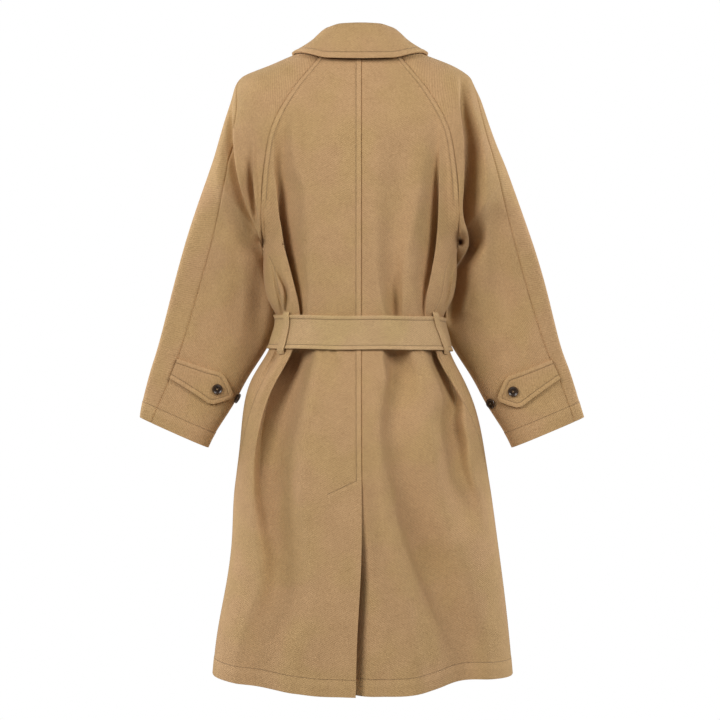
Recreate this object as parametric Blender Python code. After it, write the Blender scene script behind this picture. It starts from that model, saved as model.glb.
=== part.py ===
"""Belted balmacaan coat of heavy wool, filled out as if worn, with raglan sleeves and a back vent.

Metres, +Z up. The wearer faces -Y and the wearer's left is +X. The origin is at the neck seam,
midway between its back and its front.
"""

import math
from collections import namedtuple

import bmesh
import bpy
import numpy as np
from mathutils import Matrix, Vector

# Driving sizes
CLOTH = 0.0024
DOUBLED = 0.0042
SEAM_GAP = 0.0003
LAY_GAP = 0.0009
UNDERARM_ROW = 9.0
CUFF_ROW = 15.0
NECK_FRONT_DROP = 0.075
UNDERARM_DROP = 0.335
VENT_DROP = 0.729
VENT_UNDERLAP = 0.050
VENT_LIFT = 0.004
FRONT_UNDERLAP = 0.032
FRONT_OVERLAP = 0.036
BELT_TOP = 0.456
BELT_FOOT = 0.513
BELT_CLEAR = 0.0010
BELT_FRONT_EXTRA = 0.0042
LOOP_ANGLE = 61.0
LOOP_WIDTH = 0.014
LOOP_CLOTH = 0.0020
KNOT_HALF = (0.027, 0.011, 0.033)
END_CLEAR = 0.0038
TAB_ROW_LEFT = 12.66
TAB_ROW_RIGHT = 12.79
TAB_TILT_LEFT = 1.5
TAB_TILT_RIGHT = 2.4
TAB_LENGTH = 0.111
TAB_CLEAR = 0.0010
BUTTON_RADIUS = 0.0092
BUTTON_THICK = 0.0036
BUTTON_SEAT = 0.0003
BUTTON_ON_TAB = 0.082
BUTTON_SPARE = 0.1275

# The body by its height: drop below the neck seam, half width, depth behind and before, sideways lean
Level = namedtuple("Level", "drop half_width back front lean")
BODY = [
    Level(-0.010, 0.064, 0.051, 0.038, 0.0),
    Level(-0.002, 0.079, 0.056, 0.040, 0.0),
    Level(0.030, 0.142, 0.073, 0.049, 0.0),
    Level(0.062, 0.197, 0.087, 0.060, 0.0),
    Level(0.096, 0.237, 0.098, 0.076, 0.0),
    Level(0.131, 0.2464, 0.105, 0.094, 0.0),
    Level(0.164, 0.2336, 0.108, 0.107, 0.0),
    Level(0.200, 0.2153, 0.109, 0.117, 0.0),
    Level(0.243, 0.1954, 0.108, 0.125, 0.0),
    Level(0.292, 0.1797, 0.105, 0.128, 0.0),
    Level(0.335, 0.1674, 0.102, 0.128, 0.0),
    Level(0.370, 0.1640, 0.099, 0.126, 0.0),
    Level(0.405, 0.1572, 0.096, 0.121, 0.0),
    Level(0.435, 0.1480, 0.0935, 0.115, 0.0),
    Level(0.458, 0.1390, 0.092, 0.111, 0.0),
    Level(0.485, 0.1450, 0.093, 0.111, 0.0),
    Level(0.512, 0.1535, 0.096, 0.113, 0.0),
    Level(0.560, 0.1765, 0.106, 0.120, 0.0),
    Level(0.610, 0.1960, 0.117, 0.127, -0.001),
    Level(0.680, 0.2100, 0.128, 0.134, -0.003),
    Level(0.760, 0.2205, 0.138, 0.141, -0.0045),
    Level(0.840, 0.2275, 0.147, 0.147, -0.0080),
    Level(0.920, 0.2380, 0.155, 0.153, -0.0080),
    Level(1.000, 0.2498, 0.162, 0.160, -0.0052),
    Level(1.090, 0.2586, 0.169, 0.167, -0.0045),
]

# The side seam by height: drop, angle from the centre back in degrees
SIDE_SEAM = [
    (0.335, 84.0), (0.366, 66.0), (0.410, 61.0), (0.452, 61.0), (0.520, 61.0), (0.560, 62.0),
    (0.610, 68.0), (0.660, 76.0), (0.720, 83.0), (0.800, 87.0), (1.090, 90.0),
]

# The hem by angle from the centre back in degrees: angle, drop
HEM = [
    (-180.0, 1.0720), (-90.0, 1.0690), (-62.0, 1.0670), (-38.0, 1.0670), (-18.0, 1.0775), (0.0, 1.0800),
    (12.0, 1.0800), (45.0, 1.0730), (75.0, 1.0690), (90.0, 1.0685), (180.0, 1.0720),
]

# The raglan seams from the neck to the underarm: drop and angle behind, drop and angle before
Seam = namedtuple("Seam", "drop_back angle_back drop_front angle_front")
RAGLAN = [
    Seam(-0.002, 39.8, 0.012, 143.0),
    Seam(0.030, 33.3, 0.045, 147.0),
    Seam(0.062, 31.7, 0.075, 148.5),
    Seam(0.096, 32.1, 0.104, 148.0),
    Seam(0.131, 35.9, 0.136, 145.0),
    Seam(0.164, 41.4, 0.167, 140.0),
    Seam(0.200, 48.0, 0.203, 133.5),
    Seam(0.243, 57.5, 0.245, 124.0),
    Seam(0.292, 68.8, 0.292, 110.0),
    Seam(0.335, 84.0, 0.335, 84.0),
]

# The sleeve by rows, neck to cuff: outer edge (x on the left, x on the right, y, z), the bulge behind and
# before, how far a row sweeps round in degrees, and the over-arm seam's angle on the left and the right
Row = namedtuple("Row", "left right y z bulge_back bulge_front sweep seam_left seam_right")
SLEEVE = [
    Row(0.0670, 0.0670, 0.004, 0.0100, 0.038, 0.038, 90.0, 0.0, 0.0),
    Row(0.1190, 0.1165, 0.003, -0.0060, 0.058, 0.051, 90.0, 0.0, 0.0),
    Row(0.1570, 0.1520, 0.000, -0.0225, 0.073, 0.058, 90.0, 0.0, 0.0),
    Row(0.1900, 0.1800, 0.000, -0.0370, 0.083, 0.070, 90.0, 0.0, 0.0),
    Row(0.2064, 0.1910, 0.000, -0.0484, 0.086, 0.080, 90.0, 8.0, 4.0),
    Row(0.2150, 0.1975, 0.000, -0.0625, 0.085, 0.083, 97.0, 24.0, 16.0),
    Row(0.2212, 0.2075, 0.000, -0.0840, 0.082, 0.082, 110.0, 42.0, 31.0),
    Row(0.2330, 0.2200, -0.002, -0.1200, 0.075, 0.075, 130.0, 52.0, 40.0),
    Row(0.2463, 0.2368, -0.005, -0.1650, 0.066, 0.066, 155.0, 57.5, 45.0),
    Row(0.2592, 0.2535, -0.008, -0.2042, 0.055, 0.074, 180.0, 62.5, 49.5),
    Row(0.2890, 0.2842, -0.017, -0.2875, 0.048, 0.052, 180.0, 63.0, 51.0),
    Row(0.3208, 0.3192, -0.034, -0.3905, 0.038, 0.038, 180.0, 58.5, 50.0),
    Row(0.3488, 0.3468, -0.045, -0.4951, 0.032, 0.031, 180.0, 59.5, 48.5),
    Row(0.3648, 0.3648, -0.047, -0.5472, 0.030, 0.030, 180.0, 59.5, 46.0),
    Row(0.3786, 0.3814, -0.048, -0.5998, 0.029, 0.029, 180.0, 55.0, 44.5),
    Row(0.3838, 0.3905, -0.049, -0.6300, 0.028, 0.028, 180.0, 49.5, 44.0),
]

# The sleeve's inner fold below the underarm: row, x, y, z
INNER_FOLD = [
    (9.5, 0.1656, -0.018, -0.3660), (10.0, 0.1565, -0.038, -0.4000), (11.0, 0.1500, -0.058, -0.4700),
    (12.0, 0.1903, -0.062, -0.5520), (13.0, 0.2190, -0.058, -0.6040), (14.0, 0.2492, -0.053, -0.6520),
    (15.0, 0.2653, -0.051, -0.6830),
]

# Folds: the line as (x, drop) points, half width, depth (minus is a trough), fade at the top and the foot
Fold = namedtuple("Fold", "line width depth fade_top fade_foot")
BACK_FOLDS = [
    Fold([(0.222, 0.090), (0.222, 0.172), (0.212, 0.231), (0.197, 0.282), (0.185, 0.335)],
         0.022, -0.014, 0.05, 0.04),
    Fold([(0.184, 0.140), (0.182, 0.172), (0.174, 0.262), (0.170, 0.300)], 0.013, -0.011, 0.05, 0.04),
    Fold([(0.134, 0.150), (0.129, 0.210), (0.132, 0.252), (0.124, 0.329), (0.104, 0.388), (0.0985, 0.440),
          (0.101, 0.485), (0.106, 0.516)], 0.017, -0.017, 0.09, 0.02),
    Fold([(0.103, 0.500), (0.132, 0.567), (0.154, 0.633), (0.165, 0.693), (0.172, 0.750)],
         0.021, -0.022, 0.02, 0.10),
    Fold([(0.173, 0.731), (0.139, 0.800), (0.129, 0.866), (0.129, 0.935), (0.150, 1.000)],
         0.036, -0.008, 0.06, 0.07),
    Fold([(0.084, 0.640), (0.080, 0.800), (0.078, 1.095)], 0.036, 0.006, 0.12, 0.0),
    Fold([(-0.175, 0.065), (-0.177, 0.133), (-0.185, 0.185), (-0.189, 0.262), (-0.187, 0.320)],
         0.018, -0.020, 0.03, 0.05),
    Fold([(-0.125, 0.160), (-0.124, 0.262), (-0.120, 0.329), (-0.110, 0.402), (-0.105, 0.447),
          (-0.112, 0.485), (-0.122, 0.520)], 0.016, -0.015, 0.09, 0.02),
    Fold([(-0.124, 0.500), (-0.147, 0.567), (-0.160, 0.604), (-0.155, 0.633), (-0.168, 0.700)],
         0.020, -0.018, 0.02, 0.06),
    Fold([(-0.026, 0.530), (-0.030, 0.680), (-0.043, 0.751), (-0.061, 0.838), (-0.0765, 0.915),
          (-0.094, 1.012), (-0.100, 1.095)], 0.042, 0.012, 0.14, 0.0),
    Fold([(-0.050, 0.600), (-0.060, 0.690), (-0.082, 0.770), (-0.107, 0.854), (-0.130, 0.920),
          (-0.152, 1.000), (-0.160, 1.095)], 0.044, -0.020, 0.14, 0.0),
]
FRONT_FOLDS = [
    Fold([(0.112, 0.280), (0.100, 0.400), (0.088, 0.516)], 0.020, -0.011, 0.09, 0.02),
    Fold([(0.085, 0.500), (0.112, 0.620), (0.134, 0.800), (0.146, 1.095)], 0.038, -0.017, 0.05, 0.0),
    Fold([(0.080, 0.560), (0.088, 0.800), (0.094, 1.095)], 0.034, 0.010, 0.12, 0.0),
    Fold([(-0.116, 0.300), (-0.104, 0.420), (-0.094, 0.516)], 0.018, -0.010, 0.09, 0.02),
    Fold([(-0.096, 0.500), (-0.124, 0.640), (-0.132, 0.850), (-0.128, 1.095)], 0.040, -0.018, 0.05, 0.0),
    Fold([(-0.170, 0.640), (-0.184, 0.850), (-0.190, 1.095)], 0.034, 0.008, 0.12, 0.0),
]

# The collar from the centre back (0) to the centre front (1): stand height and its lean inward, the fall's
# reach outward, its edge above the neck seam, the edge's shift along the neck, and the fall's belly
Collar = namedtuple("Collar", "at stand lean reach edge shift belly")
COLLAR = [
    Collar(0.00, 0.0395, 0.000, 0.0265, -0.0262, 0.000, 0.0045),
    Collar(0.19, 0.0345, 0.003, 0.0340, -0.0245, 0.000, 0.0030),
    Collar(0.29, 0.0225, 0.007, 0.0460, -0.0125, 0.000, 0.0010),
    Collar(0.38, 0.0180, 0.009, 0.0535, -0.0112, 0.000, -0.0010),
    Collar(0.48, 0.0170, 0.008, 0.0535, -0.0112, 0.000, 0.0025),
    Collar(0.55, 0.0165, 0.007, 0.0535, -0.0162, 0.000, 0.0045),
    Collar(0.64, 0.0160, 0.006, 0.0510, -0.0270, 0.000, 0.0050),
    Collar(0.80, 0.0150, 0.004, 0.0430, -0.0480, 0.006, 0.0045),
    Collar(0.91, 0.0145, 0.003, 0.0390, -0.0560, 0.015, 0.0045),
    Collar(1.00, 0.0140, 0.002, 0.0380, -0.0620, 0.030, 0.0045),
]

# The collar's roll: outward from the neck seam, share of the stand's height
COLLAR_ROLL = [(-0.0008, 0.30), (-0.0016, 0.66), (-0.0004, 0.90), (0.0052, 1.00), (0.0118, 0.88)]
COLLAR_GAP = 0.0006

# Columns and rows of the grids
COLLAR_COLUMNS = 22
BELT_COLUMNS = 60
FRONT_LAP_COLUMNS = 2
BODY_ROWS = [0.335, 0.362, 0.390, 0.418, 0.440, 0.456, 0.475, 0.494, 0.513, 0.534, 0.562, 0.596, 0.638,
             0.684, 0.729, 0.741, 0.778, 0.822, 0.870, 0.922, 0.976, 1.030, 1.080]
RAGLAN_ROWS = [0.0, 1.0, 2.0, 3.0, 4.0, 5.0, 6.0, 7.0, 8.0, 8.55, 9.0]
ARM_ROWS = [9.0, 9.4, 9.8, 10.3, 10.9, 11.5, 12.1, 12.7, 13.4, 14.2, 15.0]
BACK_COLUMNS = 14
FRONT_COLUMNS = 12
SLEEVE_BACK_COLUMNS = 9
SLEEVE_FRONT_COLUMNS = 12


def spline(knots, values):
    """A smooth curve through the values, level beyond its ends."""
    x = np.asarray(knots, float)
    y = np.asarray(values, float)
    n = len(x)
    h = np.diff(x)
    matrix = np.eye(n)
    right = np.zeros(n)
    for i in range(1, n - 1):
        matrix[i, i - 1] = h[i - 1]
        matrix[i, i] = 2.0 * (h[i - 1] + h[i])
        matrix[i, i + 1] = h[i]
        right[i] = 6.0 * ((y[i + 1] - y[i]) / h[i] - (y[i] - y[i - 1]) / h[i - 1])
    bend = np.linalg.solve(matrix, right)

    def at(where):
        t = np.clip(np.asarray(where, float), x[0], x[-1])
        i = np.clip(np.searchsorted(x, t) - 1, 0, n - 2)
        a = (x[i + 1] - t) / h[i]
        b = (t - x[i]) / h[i]
        curve = ((a ** 3 - a) * bend[i] + (b ** 3 - b) * bend[i + 1]) * h[i] ** 2 / 6.0
        return a * y[i] + b * y[i + 1] + curve

    return at


def columns(table, key):
    """One spline for each column of a table, by the column named as its key."""
    keys = [getattr(row, key) for row in table]
    return {f: spline(keys, [getattr(row, f) for row in table]) for f in table[0]._fields if f != key}


BODY_AT = columns(BODY, "drop")
SIDE_AT = spline([r[0] for r in SIDE_SEAM], [r[1] for r in SIDE_SEAM])
HEM_AT = spline([r[0] for r in HEM], [r[1] for r in HEM])
RAGLAN_AT = {f: spline(range(len(RAGLAN)), [getattr(r, f) for r in RAGLAN]) for f in Seam._fields}
SLEEVE_AT = {f: spline(range(len(SLEEVE)), [getattr(r, f) for r in SLEEVE]) for f in Row._fields}
COLLAR_AT = columns(COLLAR, "at")


def ease(t):
    """From 0 to 1 with level ends."""
    t = np.clip(t, 0.0, 1.0)
    return t * t * (3.0 - 2.0 * t)


def folds(table, x, drop):
    """How far the folds move the cloth out at (x, drop)."""
    moved = np.zeros(np.broadcast(x, drop).shape)
    for fold in table:
        drops = [p[1] for p in fold.line]
        middle = np.interp(drop, drops, [p[0] for p in fold.line])
        t = np.clip(np.abs(x - middle) / fold.width, 0.0, 1.0)
        fade = ease((drop - drops[0]) / fold.fade_top)
        if fold.fade_foot > 0.0:
            fade = fade * ease((drops[-1] - drop) / fold.fade_foot)
        moved = moved + fold.depth * (1.0 - t * t) ** 2 * fade * (drop >= drops[0])
    return moved


def body_smooth(angle, drop):
    """The body without its folds; angle in radians from the centre back, the left side plus."""
    width = BODY_AT["half_width"](drop)
    c = np.cos(angle)
    depth = np.where(c >= 0.0, BODY_AT["back"](drop), BODY_AT["front"](drop))
    x = width * np.sin(angle) + BODY_AT["lean"](drop)
    return np.stack(np.broadcast_arrays(x, depth * c, -drop), axis=-1)


def body_normal(angle, drop):
    """The level direction out of the body."""
    width = BODY_AT["half_width"](drop)
    c = np.cos(angle)
    depth = np.where(c >= 0.0, BODY_AT["back"](drop), BODY_AT["front"](drop))
    out = np.stack(np.broadcast_arrays(np.sin(angle) / width, c / depth, 0.0 * drop), axis=-1)
    return out / np.linalg.norm(out, axis=-1, keepdims=True)


def body_facing(angle):
    """How far a place of the body takes part in the folds behind (plus) or before (minus)."""
    c = np.cos(angle)
    return ease(np.abs(c) / 0.35) * np.sign(c)


def body(angle, drop, out=0.0):
    """The body's outer face, moved out by a distance."""
    p = body_smooth(angle, drop)
    f = body_facing(angle)
    x = p[..., 0]
    d = -p[..., 2]
    p[..., 1] += np.where(f > 0.0, f * folds(BACK_FOLDS, x, d), f * folds(FRONT_FOLDS, x, d))
    return p + body_normal(angle, drop) * np.asarray(out)[..., None]


def inner_edge(side, row, before):
    """Where a sleeve row ends: on the raglan seam, or on the inner fold below the underarm."""
    key = "front" if before else "back"
    r = np.minimum(row, UNDERARM_ROW)
    angle = np.radians(RAGLAN_AT["angle_" + key](r)) * side
    seam = body_smooth(angle, RAGLAN_AT["drop_" + key](r))
    underarm = body_smooth(np.radians(SIDE_AT(UNDERARM_DROP)) * side, np.array(UNDERARM_DROP))
    rows = [UNDERARM_ROW] + [r[0] for r in INNER_FOLD]
    fold = []
    for k in range(3):
        sign = side if k == 0 else 1.0
        fold.append(spline(rows, [underarm[k]] + [sign * r[k + 1] for r in INNER_FOLD])(row))
    arm = np.stack(np.broadcast_arrays(*fold), axis=-1)
    return np.where((row <= UNDERARM_ROW)[..., None], seam, arm), np.abs(body_facing(angle))


def sleeve_half(side, row, turn, before):
    """Half of a sleeve; turn in radians from the outer edge, not below 0."""
    edge, facing = inner_edge(side, row, before)
    sweep = np.radians(np.minimum(SLEEVE_AT["sweep"](row), 180.0))
    turn = np.minimum(turn, sweep)
    x = side * SLEEVE_AT["left" if side > 0 else "right"](row)
    y = SLEEVE_AT["y"](row)
    z = SLEEVE_AT["z"](row)
    across = (1.0 - np.cos(turn)) / (1.0 - np.cos(sweep))
    part = turn / sweep
    bulge = SLEEVE_AT["bulge_front" if before else "bulge_back"](row) * (-1.0 if before else 1.0)
    px = x + (edge[..., 0] - x) * across
    pz = z + (edge[..., 2] - z) * across
    py = y + (edge[..., 1] - y) * part + bulge * (np.sin(turn) - part * np.sin(sweep))
    seam_weight = np.where(row <= UNDERARM_ROW, facing, 0.0)
    late = ease((part - 0.6) / 0.4)
    weight = ease(part / 0.35) * (1.0 - late + late * seam_weight)
    moved = folds(FRONT_FOLDS if before else BACK_FOLDS, px, -pz) * weight
    py = py + (-moved if before else moved)
    return np.stack(np.broadcast_arrays(px, py, pz), axis=-1)


def sleeve(side, row, turn):
    """A sleeve's outer face; a turn above 0 is behind the outer edge, one below 0 before it."""
    row, turn = np.broadcast_arrays(np.asarray(row, float), np.asarray(turn, float))
    behind = sleeve_half(side, row, np.maximum(turn, 0.0), False)
    before = sleeve_half(side, row, np.maximum(-turn, 0.0), True)
    return np.where((turn >= 0.0)[..., None], behind, before)


def seam_turn(side, row):
    """The over-arm seam's turn from the outer edge, in radians."""
    return np.radians(np.maximum(SLEEVE_AT["seam_left" if side > 0 else "seam_right"](row), 0.0))


def normals(points, ring=False):
    """Unit normals of a grid of points."""
    down = np.gradient(points, axis=0)
    if ring:
        over = (np.roll(points, -1, axis=1) - np.roll(points, 1, axis=1)) * 0.5
    else:
        over = np.gradient(points, axis=1)
    n = np.cross(over, down)
    return n / np.linalg.norm(n, axis=-1, keepdims=True)


class Sheet:
    """A grid of points on the outer face of a piece of cloth, with its normals."""

    def __init__(self, name, points, outward, thick=CLOTH, cells=None, ring=False):
        self.name = name
        self.points = points
        self.thick = thick
        self.ring = ring
        self.normals = normals(points, ring)
        if np.sum(self.normals * outward) < 0.0:
            self.normals = -self.normals
        rows, cols = points.shape[:2]
        self.cells = np.ones((rows - 1, cols if ring else cols - 1), bool) if cells is None else cells

    def used(self):
        """Which grid points the cells use."""
        rows, cols = self.points.shape[:2]
        mask = np.zeros((rows, cols), bool)
        for r, c in np.argwhere(self.cells):
            for q in (c, (c + 1) % cols):
                mask[r, q] = True
                mask[r + 1, q] = True
        return mask

    def drawn_in(self, gap):
        """The points with each free edge drawn in by half a seam gap."""
        rows, cols = self.points.shape[:2]
        moved = self.points.copy()
        for r, c in np.argwhere(self.used()):
            up = self.cell(r - 1, c - 1) or self.cell(r - 1, c)
            down = self.cell(r, c - 1) or self.cell(r, c)
            left = self.cell(r - 1, c - 1) or self.cell(r, c - 1)
            right = self.cell(r - 1, c) or self.cell(r, c)
            if up != down:
                self.step(moved, r, c, (r + 1, c) if down else (r - 1, c), gap)
            if left != right:
                self.step(moved, r, c, (r, c + 1) if right else (r, c - 1), gap)
        return moved

    def cell(self, r, c):
        rows, cols = self.cells.shape
        if self.ring:
            c %= cols
        return 0 <= r < rows and 0 <= c < cols and bool(self.cells[r, c])

    def step(self, moved, r, c, to, gap):
        way = self.points[to] - self.points[r, c]
        moved[r, c] += way * (0.5 * gap / max(np.linalg.norm(way), 1e-9))


def share_normals(sheets):
    """Gives pieces that meet at a seam one normal at each of its points."""
    total = {}
    for sheet in sheets:
        for r, c in np.argwhere(sheet.used()):
            key = tuple(np.round(sheet.points[r, c] * 1e5).astype(int))
            total[key] = total.get(key, 0.0) + sheet.normals[r, c]
    for sheet in sheets:
        for r, c in np.argwhere(sheet.used()):
            n = total[tuple(np.round(sheet.points[r, c] * 1e5).astype(int))]
            sheet.normals[r, c] = n / np.linalg.norm(n)


def material(name, colour, roughness):
    m = bpy.data.materials.new(name)
    m.use_nodes = True
    shader = m.node_tree.nodes["Principled BSDF"]
    shader.inputs["Base Color"].default_value = (*colour, 1.0)
    shader.inputs["Roughness"].default_value = roughness
    return m


def add(name, mesh, colour, roughness, collection):
    mesh.materials.append(material(name + "_finish", colour, roughness))
    o = bpy.data.objects.new(name, mesh)
    collection.objects.link(o)
    return o


def closed_mesh(sheet):
    """The wall of a sheet: its outer face, its inner face and its rims."""
    outer = sheet.drawn_in(SEAM_GAP)
    inner = outer - sheet.normals * sheet.thick
    rows, cols = outer.shape[:2]
    bm = bmesh.new()
    made = {}
    for r, c in np.argwhere(sheet.used()):
        made[0, r, c] = bm.verts.new(outer[r, c])
        made[1, r, c] = bm.verts.new(inner[r, c])
    for r, c in np.argwhere(sheet.cells):
        d = (c + 1) % cols
        loop = [(r, c), (r + 1, c), (r + 1, d), (r, d)]
        bm.faces.new([made[0, i, j] for i, j in loop])
        bm.faces.new([made[1, i, j] for i, j in reversed(loop)])
        for k, (i, j) in enumerate(loop):
            beyond = [(r, c - 1), (r + 1, c), (r, c + 1), (r - 1, c)][k]
            if not sheet.cell(*beyond):
                m, n = loop[(k + 1) % 4]
                bm.faces.new([made[0, m, n], made[0, i, j], made[1, i, j], made[1, m, n]])
    bmesh.ops.triangulate(bm, faces=bm.faces[:])
    bmesh.ops.recalc_face_normals(bm, faces=bm.faces[:])
    if bm.calc_volume(signed=True) < 0.0:
        bmesh.ops.reverse_faces(bm, faces=bm.faces[:])
    mesh = bpy.data.meshes.new(sheet.name)
    bm.to_mesh(mesh)
    bm.free()
    return mesh


def spread(count, power):
    """Columns from 0 to 1, closer together towards 1 for a power below 1."""
    return np.linspace(0.0, 1.0, count + 1) ** power


def back_grid(side):
    """Angles and drops of a back panel's rows, centre back to seam."""
    u = spread(BACK_COLUMNS, 0.82)
    angles = []
    drops = []
    for s in RAGLAN_ROWS[:-1]:
        angles.append(np.radians(float(RAGLAN_AT["angle_back"](s))) * u)
        drops.append(np.full(u.shape, float(RAGLAN_AT["drop_back"](s))))
    for drop in BODY_ROWS:
        angles.append(np.radians(float(SIDE_AT(drop))) * u)
        drops.append(np.full(u.shape, drop))
    return np.array(angles) * side, to_hem(np.array(angles) * side, np.array(drops))


def neck_bend(u):
    """How the front rows' angles bend so that the neck edge curves evenly in to the centre front."""
    seam = np.pi - np.radians(RAGLAN[0].angle_front)
    drop = NECK_FRONT_DROP + (RAGLAN[0].drop_front - NECK_FRONT_DROP) * u ** 2.0
    reach = float(BODY_AT["half_width"](RAGLAN[0].drop_front)) * math.sin(seam)
    return seam * u - np.arcsin(reach * np.sin(u * np.pi * 0.5) / BODY_AT["half_width"](drop))


def front_grid(side, beyond):
    """Angles and drops of a front panel's rows, from past the centre front to the seam."""
    u = np.linspace(0.0, 1.0, FRONT_COLUMNS + 1) ** 1.1
    angles = []
    drops = []
    for s in RAGLAN_ROWS[:-1]:
        seam = float(RAGLAN_AT["drop_front"](s))
        share = (seam - RAGLAN[0].drop_front) / (UNDERARM_DROP - RAGLAN[0].drop_front)
        centre = NECK_FRONT_DROP + (UNDERARM_DROP - NECK_FRONT_DROP) * share
        straight = np.pi + (np.radians(float(RAGLAN_AT["angle_front"](s))) - np.pi) * u
        angles.append(straight + neck_bend(u) * (1.0 - share) ** 5.0)
        drops.append(centre + (seam - centre) * u ** (2.0 - share))
    for drop in BODY_ROWS:
        angles.append(np.pi + (np.radians(float(SIDE_AT(drop))) - np.pi) * u)
        drops.append(np.full(u.shape, drop))
    angles = np.array(angles)
    drops = np.array(drops)
    lap = np.linspace(beyond, 0.0, FRONT_LAP_COLUMNS, endpoint=False)
    width = BODY_AT["half_width"](drops[:, 0])
    extra = [np.pi + np.arcsin(np.minimum(reach / width, 0.9)) for reach in lap]
    angles = np.concatenate([np.array(extra).T, angles], axis=1)
    drops = np.concatenate([np.repeat(drops[:, :1], len(lap), axis=1), drops], axis=1)
    return angles * side, to_hem(angles * side, drops)


def to_hem(angles, drops):
    """Rows near the hem follow the hem's own drop."""
    wrapped = np.degrees(np.arctan2(np.sin(angles), np.cos(angles)))
    near = ease((drops - 0.95) / (BODY_ROWS[-1] - 0.95))
    return drops + (HEM_AT(wrapped) - BODY_ROWS[-1]) * near


def outward_of(points):
    away = points.copy()
    away[..., 2] = 0.0
    return away


def back_panels():
    """The two back panels; at the vent the left one lies over the right one's under-lap."""
    angles, drops = back_grid(1.0)
    below = ease((drops - VENT_DROP) / 0.25)
    near = ease(1.0 - body_smooth(angles, drops)[..., 0] / 0.06)
    left = body(angles, drops, VENT_LIFT * below * near)
    sheets = [Sheet("back_left", left, outward_of(left))]

    angles, drops = back_grid(-1.0)
    laps = [VENT_UNDERLAP, VENT_UNDERLAP * 0.55, 0.010]
    extra = [np.arcsin(lap / BODY_AT["half_width"](drops[:, 0])) for lap in laps]
    angles = np.concatenate([np.array(extra).T, angles], axis=1)
    drops = np.concatenate([np.repeat(drops[:, :1], len(laps), axis=1), drops], axis=1)
    x = body_smooth(angles, drops)[..., 0]
    sunk = (CLOTH + LAY_GAP) * ease((x + 0.024) / 0.020) * (drops > VENT_DROP + 0.004)
    points = body(angles, drops, -sunk)
    cells = np.ones((points.shape[0] - 1, points.shape[1] - 1), bool)
    cells[:, :len(laps)] = (drops[:-1, :len(laps)] > VENT_DROP + 0.004)
    sheets.append(Sheet("back_right", points, outward_of(points), cells=cells))
    return sheets


def front_panels():
    """The two fronts; the right one laps over the left one."""
    angles, drops = front_grid(1.0, FRONT_UNDERLAP)
    left = body(angles, drops)
    angles, drops = front_grid(-1.0, FRONT_OVERLAP)
    x = body_smooth(angles, drops)[..., 0]
    raised = (CLOTH + LAY_GAP) * ease((x + 0.074) / 0.026)
    right = body(angles, drops, raised)
    return [Sheet("front_left", left, outward_of(left)), Sheet("front_right", right, outward_of(right))]


def sleeve_rows():
    return np.array(RAGLAN_ROWS[:-1] + ARM_ROWS)


def sleeve_panels(side, word):
    """The back and front half of a sleeve, parted at the over-arm seam and the inner fold."""
    rows = sleeve_rows()[:, None]
    seam = seam_turn(side, rows)
    sweep = np.radians(np.minimum(SLEEVE_AT["sweep"](rows), 180.0))
    u = np.linspace(0.0, 1.0, SLEEVE_BACK_COLUMNS + 1)[None, :]
    back = sleeve(side, rows + 0.0 * u, seam + (sweep - seam) * u)
    u = np.linspace(0.0, 1.0, SLEEVE_FRONT_COLUMNS + 1)[None, :]
    front = sleeve(side, rows + 0.0 * u, seam - (sweep + seam) * u)
    middle = (sleeve(side, rows, 0.0 * rows) + sleeve(side, rows, sweep)) * 0.5
    return [
        Sheet("sleeve_back_" + word, back, back - middle),
        Sheet("sleeve_front_" + word, front, front - middle),
    ]


def neck_edge(panels, word):
    """The panels' neck edge from the centre back to the centre front, with its normals and its way up."""
    pieces = []
    order = (("back_", False), ("sleeve_back_", True), ("sleeve_front_", False), ("front_", True))
    for name, backwards in order:
        sheet = panels[name + word]
        start = {"back_": sheet.points.shape[1] - BACK_COLUMNS - 1, "front_": FRONT_LAP_COLUMNS}.get(name, 0)
        up = sheet.points[0] - sheet.points[1]
        edge = np.concatenate([sheet.points[0], sheet.normals[0], up], axis=1)[start:]
        edge = edge[::-1] if backwards else edge
        pieces.append(edge[1:] if pieces else edge)
    return np.concatenate(pieces)


def even_line(line, count):
    """A line's rows set at even steps, and their share of its length."""
    length = np.concatenate([[0.0], np.cumsum(np.linalg.norm(np.diff(line[:, :3], axis=0), axis=1))])
    at = np.linspace(0.0, length[-1], count)
    return np.stack([np.interp(at, length, column) for column in line.T], axis=-1), at / length[-1]


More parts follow.
